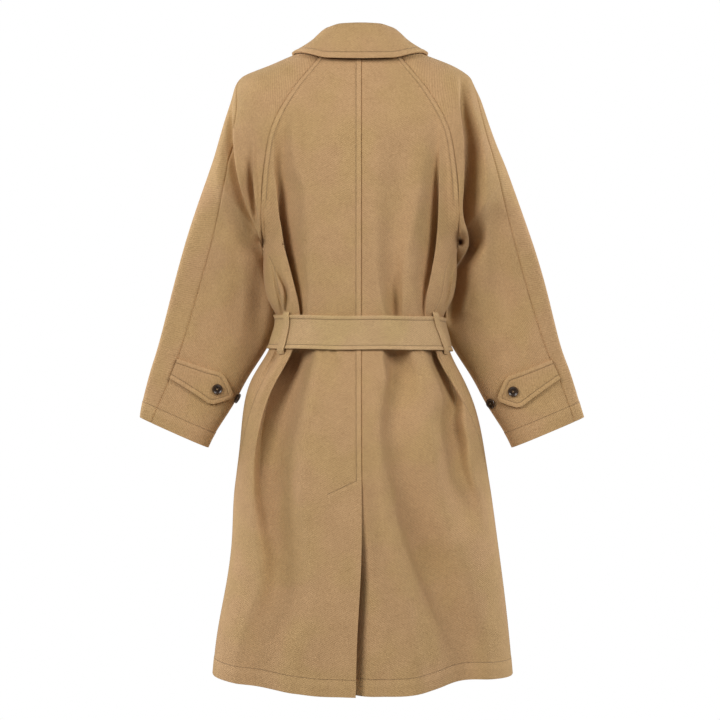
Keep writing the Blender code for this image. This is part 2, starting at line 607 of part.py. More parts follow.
def collar_half(panels, side, word):
    """The collar's middle line on one side, as rows from the neck seam over the roll to the fall's edge."""
    line, at = even_line(neck_edge(panels, word), COLLAR_COLUMNS)
    seam, normal, up = line[:, :3], line[:, 3:6], line[:, 6:]
    along = np.gradient(seam, axis=0)
    along /= np.linalg.norm(along, axis=1, keepdims=True)
    up = up - along * np.sum(up * along, axis=1, keepdims=True)
    up /= np.linalg.norm(up, axis=1, keepdims=True)
    level = along * (1.0, 1.0, 0.0)
    level[0] = (side, 0.0, 0.0)
    level[-1] = (-side, 0.0, 0.0)
    for _ in range(3):
        level[1:-1] = (level[:-2] + 2.0 * level[1:-1] + level[2:]) * 0.25
    level /= np.linalg.norm(level, axis=1, keepdims=True)
    out = np.stack([level[:, 1], -level[:, 0], 0.0 * at], axis=1) * -side
    clear = COLLAR_GAP + DOUBLED * 0.5 * np.abs(np.sum(up * out, axis=1, keepdims=True))
    base = seam + up * clear - normal * (CLOTH * 0.5)
    h = COLLAR_AT["stand"](at)[:, None]
    lean = COLLAR_AT["lean"](at)[:, None]
    rise = np.array([0.0, 0.0, 1.0])
    rows = [base]
    for o, share in COLLAR_ROLL:
        rows.append(base + out * (o - lean * share) + rise * (h * share))
    start = rows[-1]
    end = base + out * COLLAR_AT["reach"](at)[:, None] - level * COLLAR_AT["shift"](at)[:, None]
    end[:, 2] = base[:, 2] + COLLAR_AT["edge"](at)
    belly = COLLAR_AT["belly"](at)[:, None]
    for t in (0.28, 0.62, 1.0):
        rows.append(start + (end - start) * t + out * (belly * math.sin(math.pi * t)))
    grid = np.array(rows)
    grid[:, -1, 0] += side * 0.003
    return grid


def collar_sheet(panels):
    """The collar: a stand that rises from the neck seam, rolls over and falls outside."""
    named = {sheet.name: sheet for sheet in panels}
    left = collar_half(named, 1.0, "left")
    right = collar_half(named, -1.0, "right")
    points = np.concatenate([left[:, ::-1], right[:, 1:]], axis=1)
    middle = points.mean(axis=0, keepdims=True) + np.array([0.0, 0.0, -0.02])
    sheet = Sheet("collar", points, points - middle, DOUBLED)
    sheet.points = points + sheet.normals * (DOUBLED * 0.5)
    return sheet


def belt_face(angle, drop, out):
    """A face round the waist, a distance outside the body's smooth form."""
    before = ease((-np.cos(angle) - 0.55) / 0.35) * BELT_FRONT_EXTRA
    return body_smooth(angle, drop) + body_normal(angle, drop) * (out + before)[..., None]


def belt_sheet():
    angle = np.linspace(-np.pi, np.pi, BELT_COLUMNS + 1)[:-1][None, :]
    drop = np.array([BELT_TOP, 0.475, 0.494, BELT_FOOT])[:, None]
    angle, drop = np.broadcast_arrays(angle, drop)
    points = belt_face(angle, drop, np.full(angle.shape, BELT_CLEAR + DOUBLED))
    return Sheet("belt", points, outward_of(points), DOUBLED, ring=True)


def loop_sheet(side, word):
    """A carrier: sewn down above and below the belt, and lying over it."""
    over = BELT_CLEAR + DOUBLED + 0.0008
    drops = np.array([0.4440, 0.4500, 0.4522, 0.4545, 0.470, 0.485, 0.500, 0.5145, 0.5168, 0.519, 0.525])
    rise = np.array([0.0, 0.0, 0.35, 1.0, 1.0, 1.0, 1.0, 1.0, 0.35, 0.0, 0.0])
    out = 0.0008 + (over - 0.0008) * rise + LOOP_CLOTH
    width = float(BODY_AT["half_width"](0.485))
    half = LOOP_WIDTH * 0.5 / (width * 0.75)
    angle = math.radians(LOOP_ANGLE) + np.linspace(-half, half, 4)
    angle, drop = np.broadcast_arrays(side * angle[None, :], drops[:, None])
    out = np.broadcast_to(out[:, None], angle.shape)
    points = body_smooth(angle, drop) + body_normal(angle, drop) * out[..., None]
    sheet = Sheet("belt_loop_" + word, points, outward_of(points), LOOP_CLOTH)
    sheet.normals = body_normal(angle, drop)
    return sheet


def knot_mesh():
    """The belt's knot, a rounded wad of folded cloth before the belt."""
    front = float(BODY_AT["front"](0.485)) + BELT_FRONT_EXTRA + BELT_CLEAR + DOUBLED
    bm = bmesh.new()
    bmesh.ops.create_uvsphere(bm, u_segments=20, v_segments=12, radius=1.0)
    for v in bm.verts:
        d = np.array(v.co)
        d = np.sign(d) * np.abs(d) ** 0.72
        size = np.array(KNOT_HALF)
        v.co = d * size + np.array([0.0, -front - KNOT_HALF[1] - 0.0006, -0.485])
    mesh = bpy.data.meshes.new("belt_knot")
    bm.to_mesh(mesh)
    bm.free()
    return mesh


def end_sheet(side, word, foot, drift):
    """A hanging end of the belt, lying on the front panels."""
    drops = np.linspace(0.5205, foot, 12)
    share = (drops - drops[0]) / (drops[-1] - drops[0])
    half = 0.017 + 0.010 * ease(share / 0.35)
    middle = side * (0.022 + 0.006 * ease(share / 0.3) + drift * share)
    across = np.linspace(-1.0, 1.0, 5)
    x = middle[:, None] + half[:, None] * across[None, :]
    drop = np.broadcast_to(drops[:, None], x.shape).copy()
    drop[-1] += 0.016 * (1.0 - np.abs(across))
    lean = BODY_AT["lean"](drop)
    angle = np.pi - np.arcsin((x - lean) / BODY_AT["half_width"](drop))
    points = body(angle, drop, np.full(x.shape, END_CLEAR + DOUBLED))
    return Sheet("belt_end_" + word, points, outward_of(points), DOUBLED)


def tab_row(side, along):
    """The sleeve row that a tab's middle line lies on; it dips a little towards the tab's point."""
    if side > 0:
        return TAB_ROW_LEFT + TAB_TILT_LEFT * along
    return TAB_ROW_RIGHT + TAB_TILT_RIGHT * along


def on_sleeve(side, along, down):
    """Places on a sleeve at distances along its row from the over-arm seam, and down from the tab's row."""
    row = tab_row(side, along) + down / 0.0535
    seam = seam_turn(side, row)
    turn = np.linspace(0.0, 1.0, 61) * (np.pi - seam) + seam
    line = sleeve(side, np.full(turn.shape, row), turn)
    length = np.concatenate([[0.0], np.cumsum(np.linalg.norm(np.diff(line, axis=0), axis=1))])
    step = 1e-3
    at = np.interp(along, length, turn)
    beside = np.interp(along + step, length, turn)
    p = sleeve(side, row, at)
    over = sleeve(side, row, beside) - p
    below = sleeve(side, row + 0.02, at) - p
    n = np.cross(over, below)
    n /= np.linalg.norm(n)
    middle = (sleeve(side, row, 0.0) + sleeve(side, row, np.pi)) * 0.5
    return p, n if np.dot(n, p - middle) > 0.0 else -n


# The tab's outline from its seam to its point: share of its length, half width
TAB = [(0.004, 0.0195), (0.25, 0.0222), (0.50, 0.0252), (0.70, 0.0285), (0.78, 0.0262), (0.89, 0.0160),
       (1.0, 0.0040)]


def tab_sheet(side, word):
    points = []
    for share, half in TAB:
        for k in np.linspace(-1.0, 1.0, 5):
            p, n = on_sleeve(side, share * TAB_LENGTH, k * half)
            points.append(p + n * (TAB_CLEAR + DOUBLED))
    grid = np.array(points).reshape(len(TAB), 5, 3)
    row = tab_row(side, 0.0)
    middle = (sleeve(side, row, 0.0) + sleeve(side, row, np.pi)) * 0.5
    return Sheet("sleeve_tab_" + word, grid, grid - middle, DOUBLED)


def button_mesh(name, place, normal):
    """A round button with a raised rim, turned about its axis."""
    profile = [(0.0, 0.0), (0.80, 0.0), (0.96, 0.25), (1.0, 0.60), (0.94, 1.0), (0.78, 0.95), (0.66, 0.68),
               (0.0, 0.62)]
    bm = bmesh.new()
    line = [bm.verts.new((r * BUTTON_RADIUS, 0.0, h * BUTTON_THICK)) for r, h in profile]
    edges = [bm.edges.new(pair) for pair in zip(line, line[1:])]
    bmesh.ops.spin(bm, geom=line + edges, cent=(0, 0, 0), axis=(0, 0, 1), angle=2 * math.pi, steps=20,
                   use_merge=True, use_duplicate=False)
    bmesh.ops.remove_doubles(bm, verts=bm.verts[:], dist=1e-6)
    bmesh.ops.recalc_face_normals(bm, faces=bm.faces[:])
    bmesh.ops.triangulate(bm, faces=bm.faces[:])
    if bm.calc_volume(signed=True) < 0.0:
        bmesh.ops.reverse_faces(bm, faces=bm.faces[:])
    turn = Vector(normal).to_track_quat("Z", "Y").to_matrix().to_4x4()
    bmesh.ops.transform(bm, matrix=Matrix.Translation(Vector(place)) @ turn, verts=bm.verts[:])
    mesh = bpy.data.meshes.new(name)
    bm.to_mesh(mesh)
    bm.free()
    return mesh


def buttons(side, word):
    """The button on a tab and the spare one beyond the tab's point."""
    made = []
    for name, along, lift in (("tab", BUTTON_ON_TAB, TAB_CLEAR + DOUBLED), ("spare", BUTTON_SPARE, 0.0)):
        p, n = on_sleeve(side, along, 0.0)
        made.append((f"button_{word}_{name}", p + n * (lift + BUTTON_SEAT), n))
    return made


WOOL = (0.50, 0.324, 0.161)
HORN = (0.055, 0.032, 0.020)


def build():
    for o in list(bpy.data.objects):
        bpy.data.objects.remove(o, do_unlink=True)
    collection = bpy.data.collections.new("balmacaan_coat")
    bpy.context.scene.collection.children.link(collection)
    panels = back_panels() + front_panels() + sleeve_panels(1.0, "left") + sleeve_panels(-1.0, "right")
    share_normals(panels)
    sheets = panels + [
        collar_sheet(panels),
        belt_sheet(),
        loop_sheet(1.0, "left"),
        loop_sheet(-1.0, "right"),
        end_sheet(1.0, "left", 0.800, 0.014),
        end_sheet(-1.0, "right", 0.835, 0.006),
        tab_sheet(1.0, "left"),
        tab_sheet(-1.0, "right"),
    ]
    for sheet in sheets:
        add(sheet.name, closed_mesh(sheet), WOOL, 0.9, collection)
    add("belt_knot", knot_mesh(), WOOL, 0.9, collection)
    for name, place, normal in buttons(1.0, "left") + buttons(-1.0, "right"):
        add(name, button_mesh(name, place, normal), HORN, 0.35, collection)


build()
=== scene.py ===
"""The dressed balmacaan coat: its wool cloth with folds, welts and stitches, its horn buttons and its studio.

Metres, +Z up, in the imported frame. The wearer faces -Y and the wearer's left is +X.
"""

import logging
import math
from dataclasses import dataclass, field
from enum import Enum
from typing import NamedTuple, Optional, Sequence

import bmesh
import bpy
import numpy as np
from bpy.types import ID, Material, Mesh, Node, NodeSocket, NodeTree, Object
from mathutils import Matrix, Vector
from mathutils.kdtree import KDTree


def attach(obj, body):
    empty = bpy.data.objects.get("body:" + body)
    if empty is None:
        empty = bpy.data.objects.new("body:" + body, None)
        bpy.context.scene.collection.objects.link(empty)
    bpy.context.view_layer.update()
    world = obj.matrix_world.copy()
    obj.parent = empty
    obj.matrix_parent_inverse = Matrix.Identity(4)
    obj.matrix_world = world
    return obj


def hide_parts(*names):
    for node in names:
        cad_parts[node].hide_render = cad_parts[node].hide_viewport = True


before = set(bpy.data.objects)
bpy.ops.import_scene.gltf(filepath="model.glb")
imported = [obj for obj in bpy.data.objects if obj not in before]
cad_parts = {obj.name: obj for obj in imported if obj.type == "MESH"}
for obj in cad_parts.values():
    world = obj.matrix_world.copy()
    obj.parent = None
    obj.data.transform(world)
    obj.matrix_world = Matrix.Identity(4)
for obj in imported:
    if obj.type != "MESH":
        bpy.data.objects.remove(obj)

log = logging.getLogger("coat")
Array = np.ndarray
NO_STITCH = 0.03
TINY = 1e-12
WOOL_THICK = 0.0024
LAY_GAP = 0.0009
RAGLAN_END = 0.262
NECK_SMOOTH = 0.02
NECK_FADE = 0.08
UNDERARM_ROW = 9.0
CUFF_ROW = 15.0


class Side(Enum):
    """The wearer's left and right."""

    LEFT = 1.0
    RIGHT = -1.0

    @property
    def word(self) -> str:
        """The side's name in a piece's name."""
        return self.name.lower()


class Slot(Enum):
    """Names for material slots."""

    WOOL = "wool"
    HORN = "button_horn"


class Level(NamedTuple):
    """The body at one height: drop below the neck seam, half width, depth behind and before, lean."""

    drop: float
    half_width: float
    back: float
    front: float
    lean: float


class Seam(NamedTuple):
    """A raglan seam at one row: drop and angle behind, drop and angle before."""

    drop_back: float
    angle_back: float
    drop_front: float
    angle_front: float


class SleeveRow(NamedTuple):
    """A sleeve row: outer edge left and right, its y and z, bulges, sweep, over-arm seam left and right."""

    left: float
    right: float
    y: float
    z: float
    bulge_back: float
    bulge_front: float
    sweep: float
    seam_left: float
    seam_right: float


class InnerFold(NamedTuple):
    """A place on a sleeve's inner fold below the underarm."""

    row: float
    x: float
    y: float
    z: float


class CollarRow(NamedTuple):
    """The collar's section at a share of the way from the centre back to the centre front."""

    at: float
    stand: float
    lean: float
    reach: float
    edge: float
    shift: float
    belly: float


class FoldPoint(NamedTuple):
    """A place on a fold: x, drop, width towards plus and minus x, depth (minus is a trough)."""

    x: float
    drop: float
    plus: float
    minus: float
    depth: float


def ease(t: Array) -> Array:
    """A share from 0 to 1 with level ends."""
    t = np.clip(t, 0.0, 1.0)
    return t * t * (3.0 - 2.0 * t)


def bell(t: Array) -> Array:
    """A smooth hump, one in its middle and almost nought past twice its width."""
    return np.exp(-(t ** 2))


def unit(ways: Array) -> Array:
    """Ways of length one."""
    return ways / np.maximum(np.linalg.norm(ways, axis=-1, keepdims=True), TINY)


def lengths_along(line: Array) -> Array:
    """How far along a line each of its points lies."""
    return np.concatenate([[0.0], np.cumsum(np.linalg.norm(np.diff(line, axis=0), axis=1))])


def walked(line: Array, lengths: Array, at: Array) -> Array:
    """A line's columns at distances along it."""
    return np.stack([np.interp(at, lengths, column) for column in line.T], axis=-1)


class Curve:
    """A smooth curve through values at knots, level beyond its ends."""

    def __init__(self, knots: Sequence[float], values: Sequence[float]) -> None:
        """Solves the curve's bends.

        Args:
            knots: Rising places.
            values: The value at each, or a row of values.
        """
        self.x = np.asarray(knots, float)
        self.y = np.asarray(values, float)
        n = len(self.x)
        self.h = np.diff(self.x)
        matrix = np.eye(n)
        right = np.zeros(self.y.shape)
        for i in range(1, n - 1):
            matrix[i, i - 1] = self.h[i - 1]
            matrix[i, i] = 2.0 * (self.h[i - 1] + self.h[i])
            matrix[i, i + 1] = self.h[i]
            after = (self.y[i + 1] - self.y[i]) / self.h[i]
            before = (self.y[i] - self.y[i - 1]) / self.h[i - 1]
            right[i] = 6.0 * (after - before)
        self.bend = np.linalg.solve(matrix, right.reshape(n, -1)).reshape(self.y.shape)

    def __call__(self, where: Array) -> Array:
        """The curve's values.

        Args:
            where: Places along the knots.

        Returns:
            A value, or a row of values, for each place.
        """
        t = np.clip(np.asarray(where, float), self.x[0], self.x[-1])
        i = np.clip(np.searchsorted(self.x, t) - 1, 0, len(self.x) - 2)
        a = (self.x[i + 1] - t) / self.h[i]
        b = (t - self.x[i]) / self.h[i]
        h = self.h[i]
        wide = a.shape + (1,) * (self.y.ndim - 1)
        a, b, h = a.reshape(wide), b.reshape(wide), h.reshape(wide)
        curve = ((a ** 3 - a) * self.bend[i] + (b ** 3 - b) * self.bend[i + 1]) * h ** 2 / 6.0
        return a * self.y[i] + b * self.y[i + 1] + curve


def column_curves(rows: Sequence[NamedTuple], key: Optional[str] = None) -> dict[str, Curve]:
    """One curve for each column of a table.

    Args:
        rows: The table.
        key: The column that the curves run along, or None for the row's number.

    Returns:
        The curves by the column's name.
    """
    keys = [getattr(r, key) for r in rows] if key else list(range(len(rows)))
    return {f: Curve(keys, [getattr(r, f) for r in rows]) for f in rows[0]._fields if f != key}


@dataclass(frozen=True)
class Fold:
    """A trough or a ridge of the cloth along a line from top to foot.

    A lean moves the trough sideways under the cloth beside it, so that this cloth laps over it. The core is
    the share of the depth that lies close to the line, and square how flat its bottom is, on the side away
    from the lap. The cloth's columns are crowded beside the lap.
    """

    points: tuple[FoldPoint, ...]
    lean: float = 0.0
    core: float = 0.0
    square: float = 2.0
    blur: float = 0.008
    core_width: float = 0.42
    crowd_gain: float = 3.2
    crowd_depth: float = 0.014
    crowd_shift: float = 0.002
    crowd_width: float = 0.0075

    def column(self, key: str) -> tuple[list[float], list[float]]:
        """The drops, and one column of the fold's table."""
        return [p.drop for p in self.points], [getattr(p, key) for p in self.points]

    def middle(self, drop: Array) -> Array:
        """Where the fold's line lies across, at each drop."""
        return Curve(*self.column("x"))(drop)

    def depth(self, drop: Array) -> Array:
        """The fold's depth at each drop, eased at its ends."""
        steps = (-self.blur, 0.0, self.blur)
        return sum(np.interp(drop + step, *self.column("depth")) for step in steps) / 3.0

    def height(self, x: Array, drop: Array) -> Array:
        """How far the fold moves the cloth out.

        Args:
            x: Places across.
            drop: Places down.

        Returns:
            The distance out at each place.
        """
        beside = x - self.middle(drop)
        plus, minus = (np.interp(drop, *self.column(key)) for key in ("plus", "minus"))
        t = np.clip(np.abs(beside) / np.where(beside >= 0.0, plus, minus), 0.0, 1.0)
        open_side = beside * self.lean < 0.0
        broad = (1.0 - t ** np.where(open_side, self.square, 2.0)) ** 2
        narrow = (1.0 - np.minimum(t / self.core_width, 1.0) ** 2) ** 2
        core = np.where(open_side, self.core, 0.0)
        return self.depth(drop) * (broad + core * (narrow - broad))

    def crowd(self, x: Array, drop: Array) -> Array:
        """How much closer the cloth's columns lie beside a lapped fold.

        Args:
            x: Places across.
            drop: Places down.

        Returns:
            A weight at each place, nought for a fold that has no lap.
        """
        if not self.lean:
            return np.zeros(np.shape(x))
        strength = np.minimum(np.abs(self.depth(drop)) / self.crowd_depth, 1.0)
        beside = x - self.middle(drop) - math.copysign(self.crowd_shift, self.lean)
        return self.crowd_gain * strength * bell(beside / self.crowd_width)


def fold(*rows: tuple[float, ...], lean: float = 0.0, core: float = 0.0, square: float = 2.0) -> Fold:
    """A fold from rows of x, drop, plus, minus and depth."""
    return Fold(tuple(FoldPoint(*r) for r in rows), lean, core, square)


BODY_LEVELS = (
    Level(-0.010, 0.064, 0.051, 0.038, 0.0),
    Level(-0.002, 0.079, 0.056, 0.040, 0.0),
    Level(0.030, 0.142, 0.073, 0.049, 0.0),
    Level(0.062, 0.197, 0.087, 0.060, 0.0),
    Level(0.096, 0.237, 0.098, 0.076, 0.0),
    Level(0.131, 0.2464, 0.105, 0.094, 0.0),
    Level(0.164, 0.2336, 0.108, 0.107, 0.0),
    Level(0.200, 0.2153, 0.109, 0.117, 0.0),
    Level(0.243, 0.1954, 0.108, 0.125, 0.0),
    Level(0.292, 0.1797, 0.105, 0.128, 0.0),
    Level(0.335, 0.1674, 0.102, 0.128, 0.0),
    Level(0.370, 0.1665, 0.099, 0.126, 0.0),
    Level(0.405, 0.1640, 0.096, 0.121, 0.0),
    Level(0.435, 0.1545, 0.0935, 0.115, 0.0),
    Level(0.458, 0.1430, 0.092, 0.111, 0.0),
    Level(0.485, 0.1470, 0.093, 0.111, 0.0),
    Level(0.512, 0.1550, 0.096, 0.113, 0.0015),
    Level(0.560, 0.1805, 0.106, 0.120, 0.0042),
    Level(0.610, 0.1985, 0.117, 0.127, 0.0012),
    Level(0.680, 0.2100, 0.128, 0.134, -0.003),
    Level(0.760, 0.2205, 0.138, 0.141, -0.0045),
    Level(0.840, 0.2275, 0.147, 0.147, -0.0080),
    Level(0.920, 0.2380, 0.155, 0.153, -0.0080),
    Level(1.000, 0.2498, 0.162, 0.160, -0.0052),
    Level(1.090, 0.2586, 0.169, 0.167, -0.0045),
)

SIDE_SEAM = (
    (0.335, 84.0), (0.366, 66.0), (0.410, 61.0), (0.452, 61.0), (0.520, 61.0), (0.560, 62.0),
    (0.610, 68.0), (0.660, 76.0), (0.720, 83.0), (0.800, 87.0), (1.090, 90.0),
)

HEM_LINE = (
    (-180.0, 1.0720), (-90.0, 1.0690), (-62.0, 1.0655), (-38.0, 1.0645), (-18.0, 1.0775), (0.0, 1.0800),
    (12.0, 1.0800), (45.0, 1.0730), (75.0, 1.0690), (90.0, 1.0685), (180.0, 1.0720),
)

RAGLAN_SEAM = (
    Seam(-0.002, 39.8, 0.012, 143.0),
    Seam(0.030, 33.3, 0.045, 147.0),
    Seam(0.062, 31.7, 0.075, 148.5),
    Seam(0.096, 32.1, 0.104, 148.0),
    Seam(0.131, 35.9, 0.136, 145.0),
    Seam(0.164, 41.4, 0.167, 140.0),
    Seam(0.200, 48.0, 0.203, 133.5),
    Seam(0.243, 57.5, 0.245, 124.0),
    Seam(0.292, 68.8, 0.292, 110.0),
    Seam(0.335, 84.0, 0.335, 84.0),
)

SLEEVE_ROWS = (
    SleeveRow(0.0670, 0.0670, 0.004, 0.0100, 0.038, 0.038, 90.0, 0.0, 0.0),
    SleeveRow(0.1190, 0.1180, 0.003, -0.0100, 0.058, 0.051, 90.0, 0.0, 0.0),
    SleeveRow(0.1545, 0.1570, 0.000, -0.0248, 0.073, 0.058, 90.0, 0.0, 0.0),
    SleeveRow(0.1895, 0.1805, 0.000, -0.0383, 0.083, 0.070, 90.0, 0.0, 0.0),
    SleeveRow(0.2064, 0.1910, 0.000, -0.0484, 0.086, 0.080, 90.0, 8.0, 4.0),
    SleeveRow(0.2150, 0.1975, 0.000, -0.0625, 0.085, 0.083, 97.0, 24.0, 16.0),
    SleeveRow(0.2212, 0.2075, 0.000, -0.0840, 0.082, 0.082, 110.0, 42.0, 31.0),
    SleeveRow(0.2330, 0.2200, -0.002, -0.1200, 0.075, 0.075, 130.0, 52.0, 40.0),
    SleeveRow(0.2463, 0.2368, -0.005, -0.1650, 0.066, 0.066, 155.0, 57.5, 45.0),
    SleeveRow(0.2592, 0.2535, -0.008, -0.2042, 0.055, 0.074, 180.0, 62.5, 49.5),
    SleeveRow(0.2890, 0.2842, -0.017, -0.2875, 0.048, 0.052, 180.0, 63.0, 51.0),
    SleeveRow(0.3208, 0.3192, -0.034, -0.3905, 0.038, 0.038, 180.0, 58.5, 50.0),
    SleeveRow(0.3488, 0.3468, -0.045, -0.4951, 0.032, 0.031, 180.0, 59.5, 48.5),
    SleeveRow(0.3648, 0.3648, -0.047, -0.5472, 0.030, 0.030, 180.0, 59.5, 46.0),
    SleeveRow(0.3786, 0.3814, -0.048, -0.5998, 0.029, 0.029, 180.0, 55.0, 44.5),
    SleeveRow(0.3838, 0.3905, -0.049, -0.6300, 0.028, 0.028, 180.0, 49.5, 44.0),
)

INNER_FOLD = (
    InnerFold(9.5, 0.1620, -0.036, -0.3660),
    InnerFold(10.0, 0.1540, -0.050, -0.4000),
    InnerFold(11.0, 0.1450, -0.064, -0.4700),
    InnerFold(12.0, 0.1903, -0.062, -0.5520),
    InnerFold(13.0, 0.2190, -0.058, -0.6040),
    InnerFold(14.0, 0.2492, -0.053, -0.6520),
    InnerFold(15.0, 0.2653, -0.051, -0.6830),
)

COLLAR_ROWS = (
    CollarRow(0.00, 0.0345, 0.000, 0.0265, -0.0275, 0.000, 0.0045),
    CollarRow(0.10, 0.0343, 0.001, 0.0285, -0.0268, 0.000, 0.0042),
    CollarRow(0.19, 0.0315, 0.003, 0.0330, -0.0240, 0.000, 0.0030),
    CollarRow(0.29, 0.0200, 0.007, 0.0440, -0.0175, 0.000, 0.0010),
    CollarRow(0.38, 0.0155, 0.009, 0.0515, -0.0148, 0.000, -0.0010),
    CollarRow(0.48, 0.0150, 0.008, 0.0520, -0.0150, 0.000, 0.0015),
    CollarRow(0.55, 0.0150, 0.007, 0.0525, -0.0190, 0.000, 0.0040),
    CollarRow(0.64, 0.0155, 0.006, 0.0505, -0.0285, 0.000, 0.0050),
    CollarRow(0.80, 0.0150, 0.004, 0.0430, -0.0480, 0.006, 0.0045),
    CollarRow(0.91, 0.0145, 0.003, 0.0390, -0.0560, 0.015, 0.0045),
    CollarRow(1.00, 0.0140, 0.002, 0.0380, -0.0620, 0.030, 0.0045),
)

COLLAR_ROLL = ((-0.0008, 0.30), (-0.0016, 0.66), (-0.0004, 0.90), (0.0052, 1.00), (0.0118, 0.88))

TAB_OUTLINE = (
    (0.004, 0.0195), (0.25, 0.0222), (0.50, 0.0252), (0.70, 0.0285), (0.78, 0.0262), (0.89, 0.0160),
    (1.0, 0.0040),
)

CARRIER_RISE = (
    (0.4490, 0.10), (0.4515, 0.35), (0.4545, 0.80), (0.4575, 1.02), (0.4700, 1.06), (0.4850, 1.08),
    (0.5000, 1.06), (0.5115, 1.02), (0.5150, 0.80), (0.5180, 0.35), (0.5205, 0.10),
)

BELT_SWAY = ((-0.0018, 1.0, 0.0), (0.0006, 3.0, 0.8), (0.0004, 7.0, 0.0))

BELT_WAVE = ((0.0004, 11.0, 0.5), (0.0003, 19.0, 0.0))

BUTTON_PROFILE = (
    (0.0, 0.0), (0.70, 0.0), (0.88, 0.10), (0.97, 0.34), (1.0, 0.60), (0.985, 0.82), (0.94, 0.97),
    (0.87, 1.0), (0.79, 0.95), (0.72, 0.80), (0.66, 0.69), (0.56, 0.64), (0.0, 0.62),
)

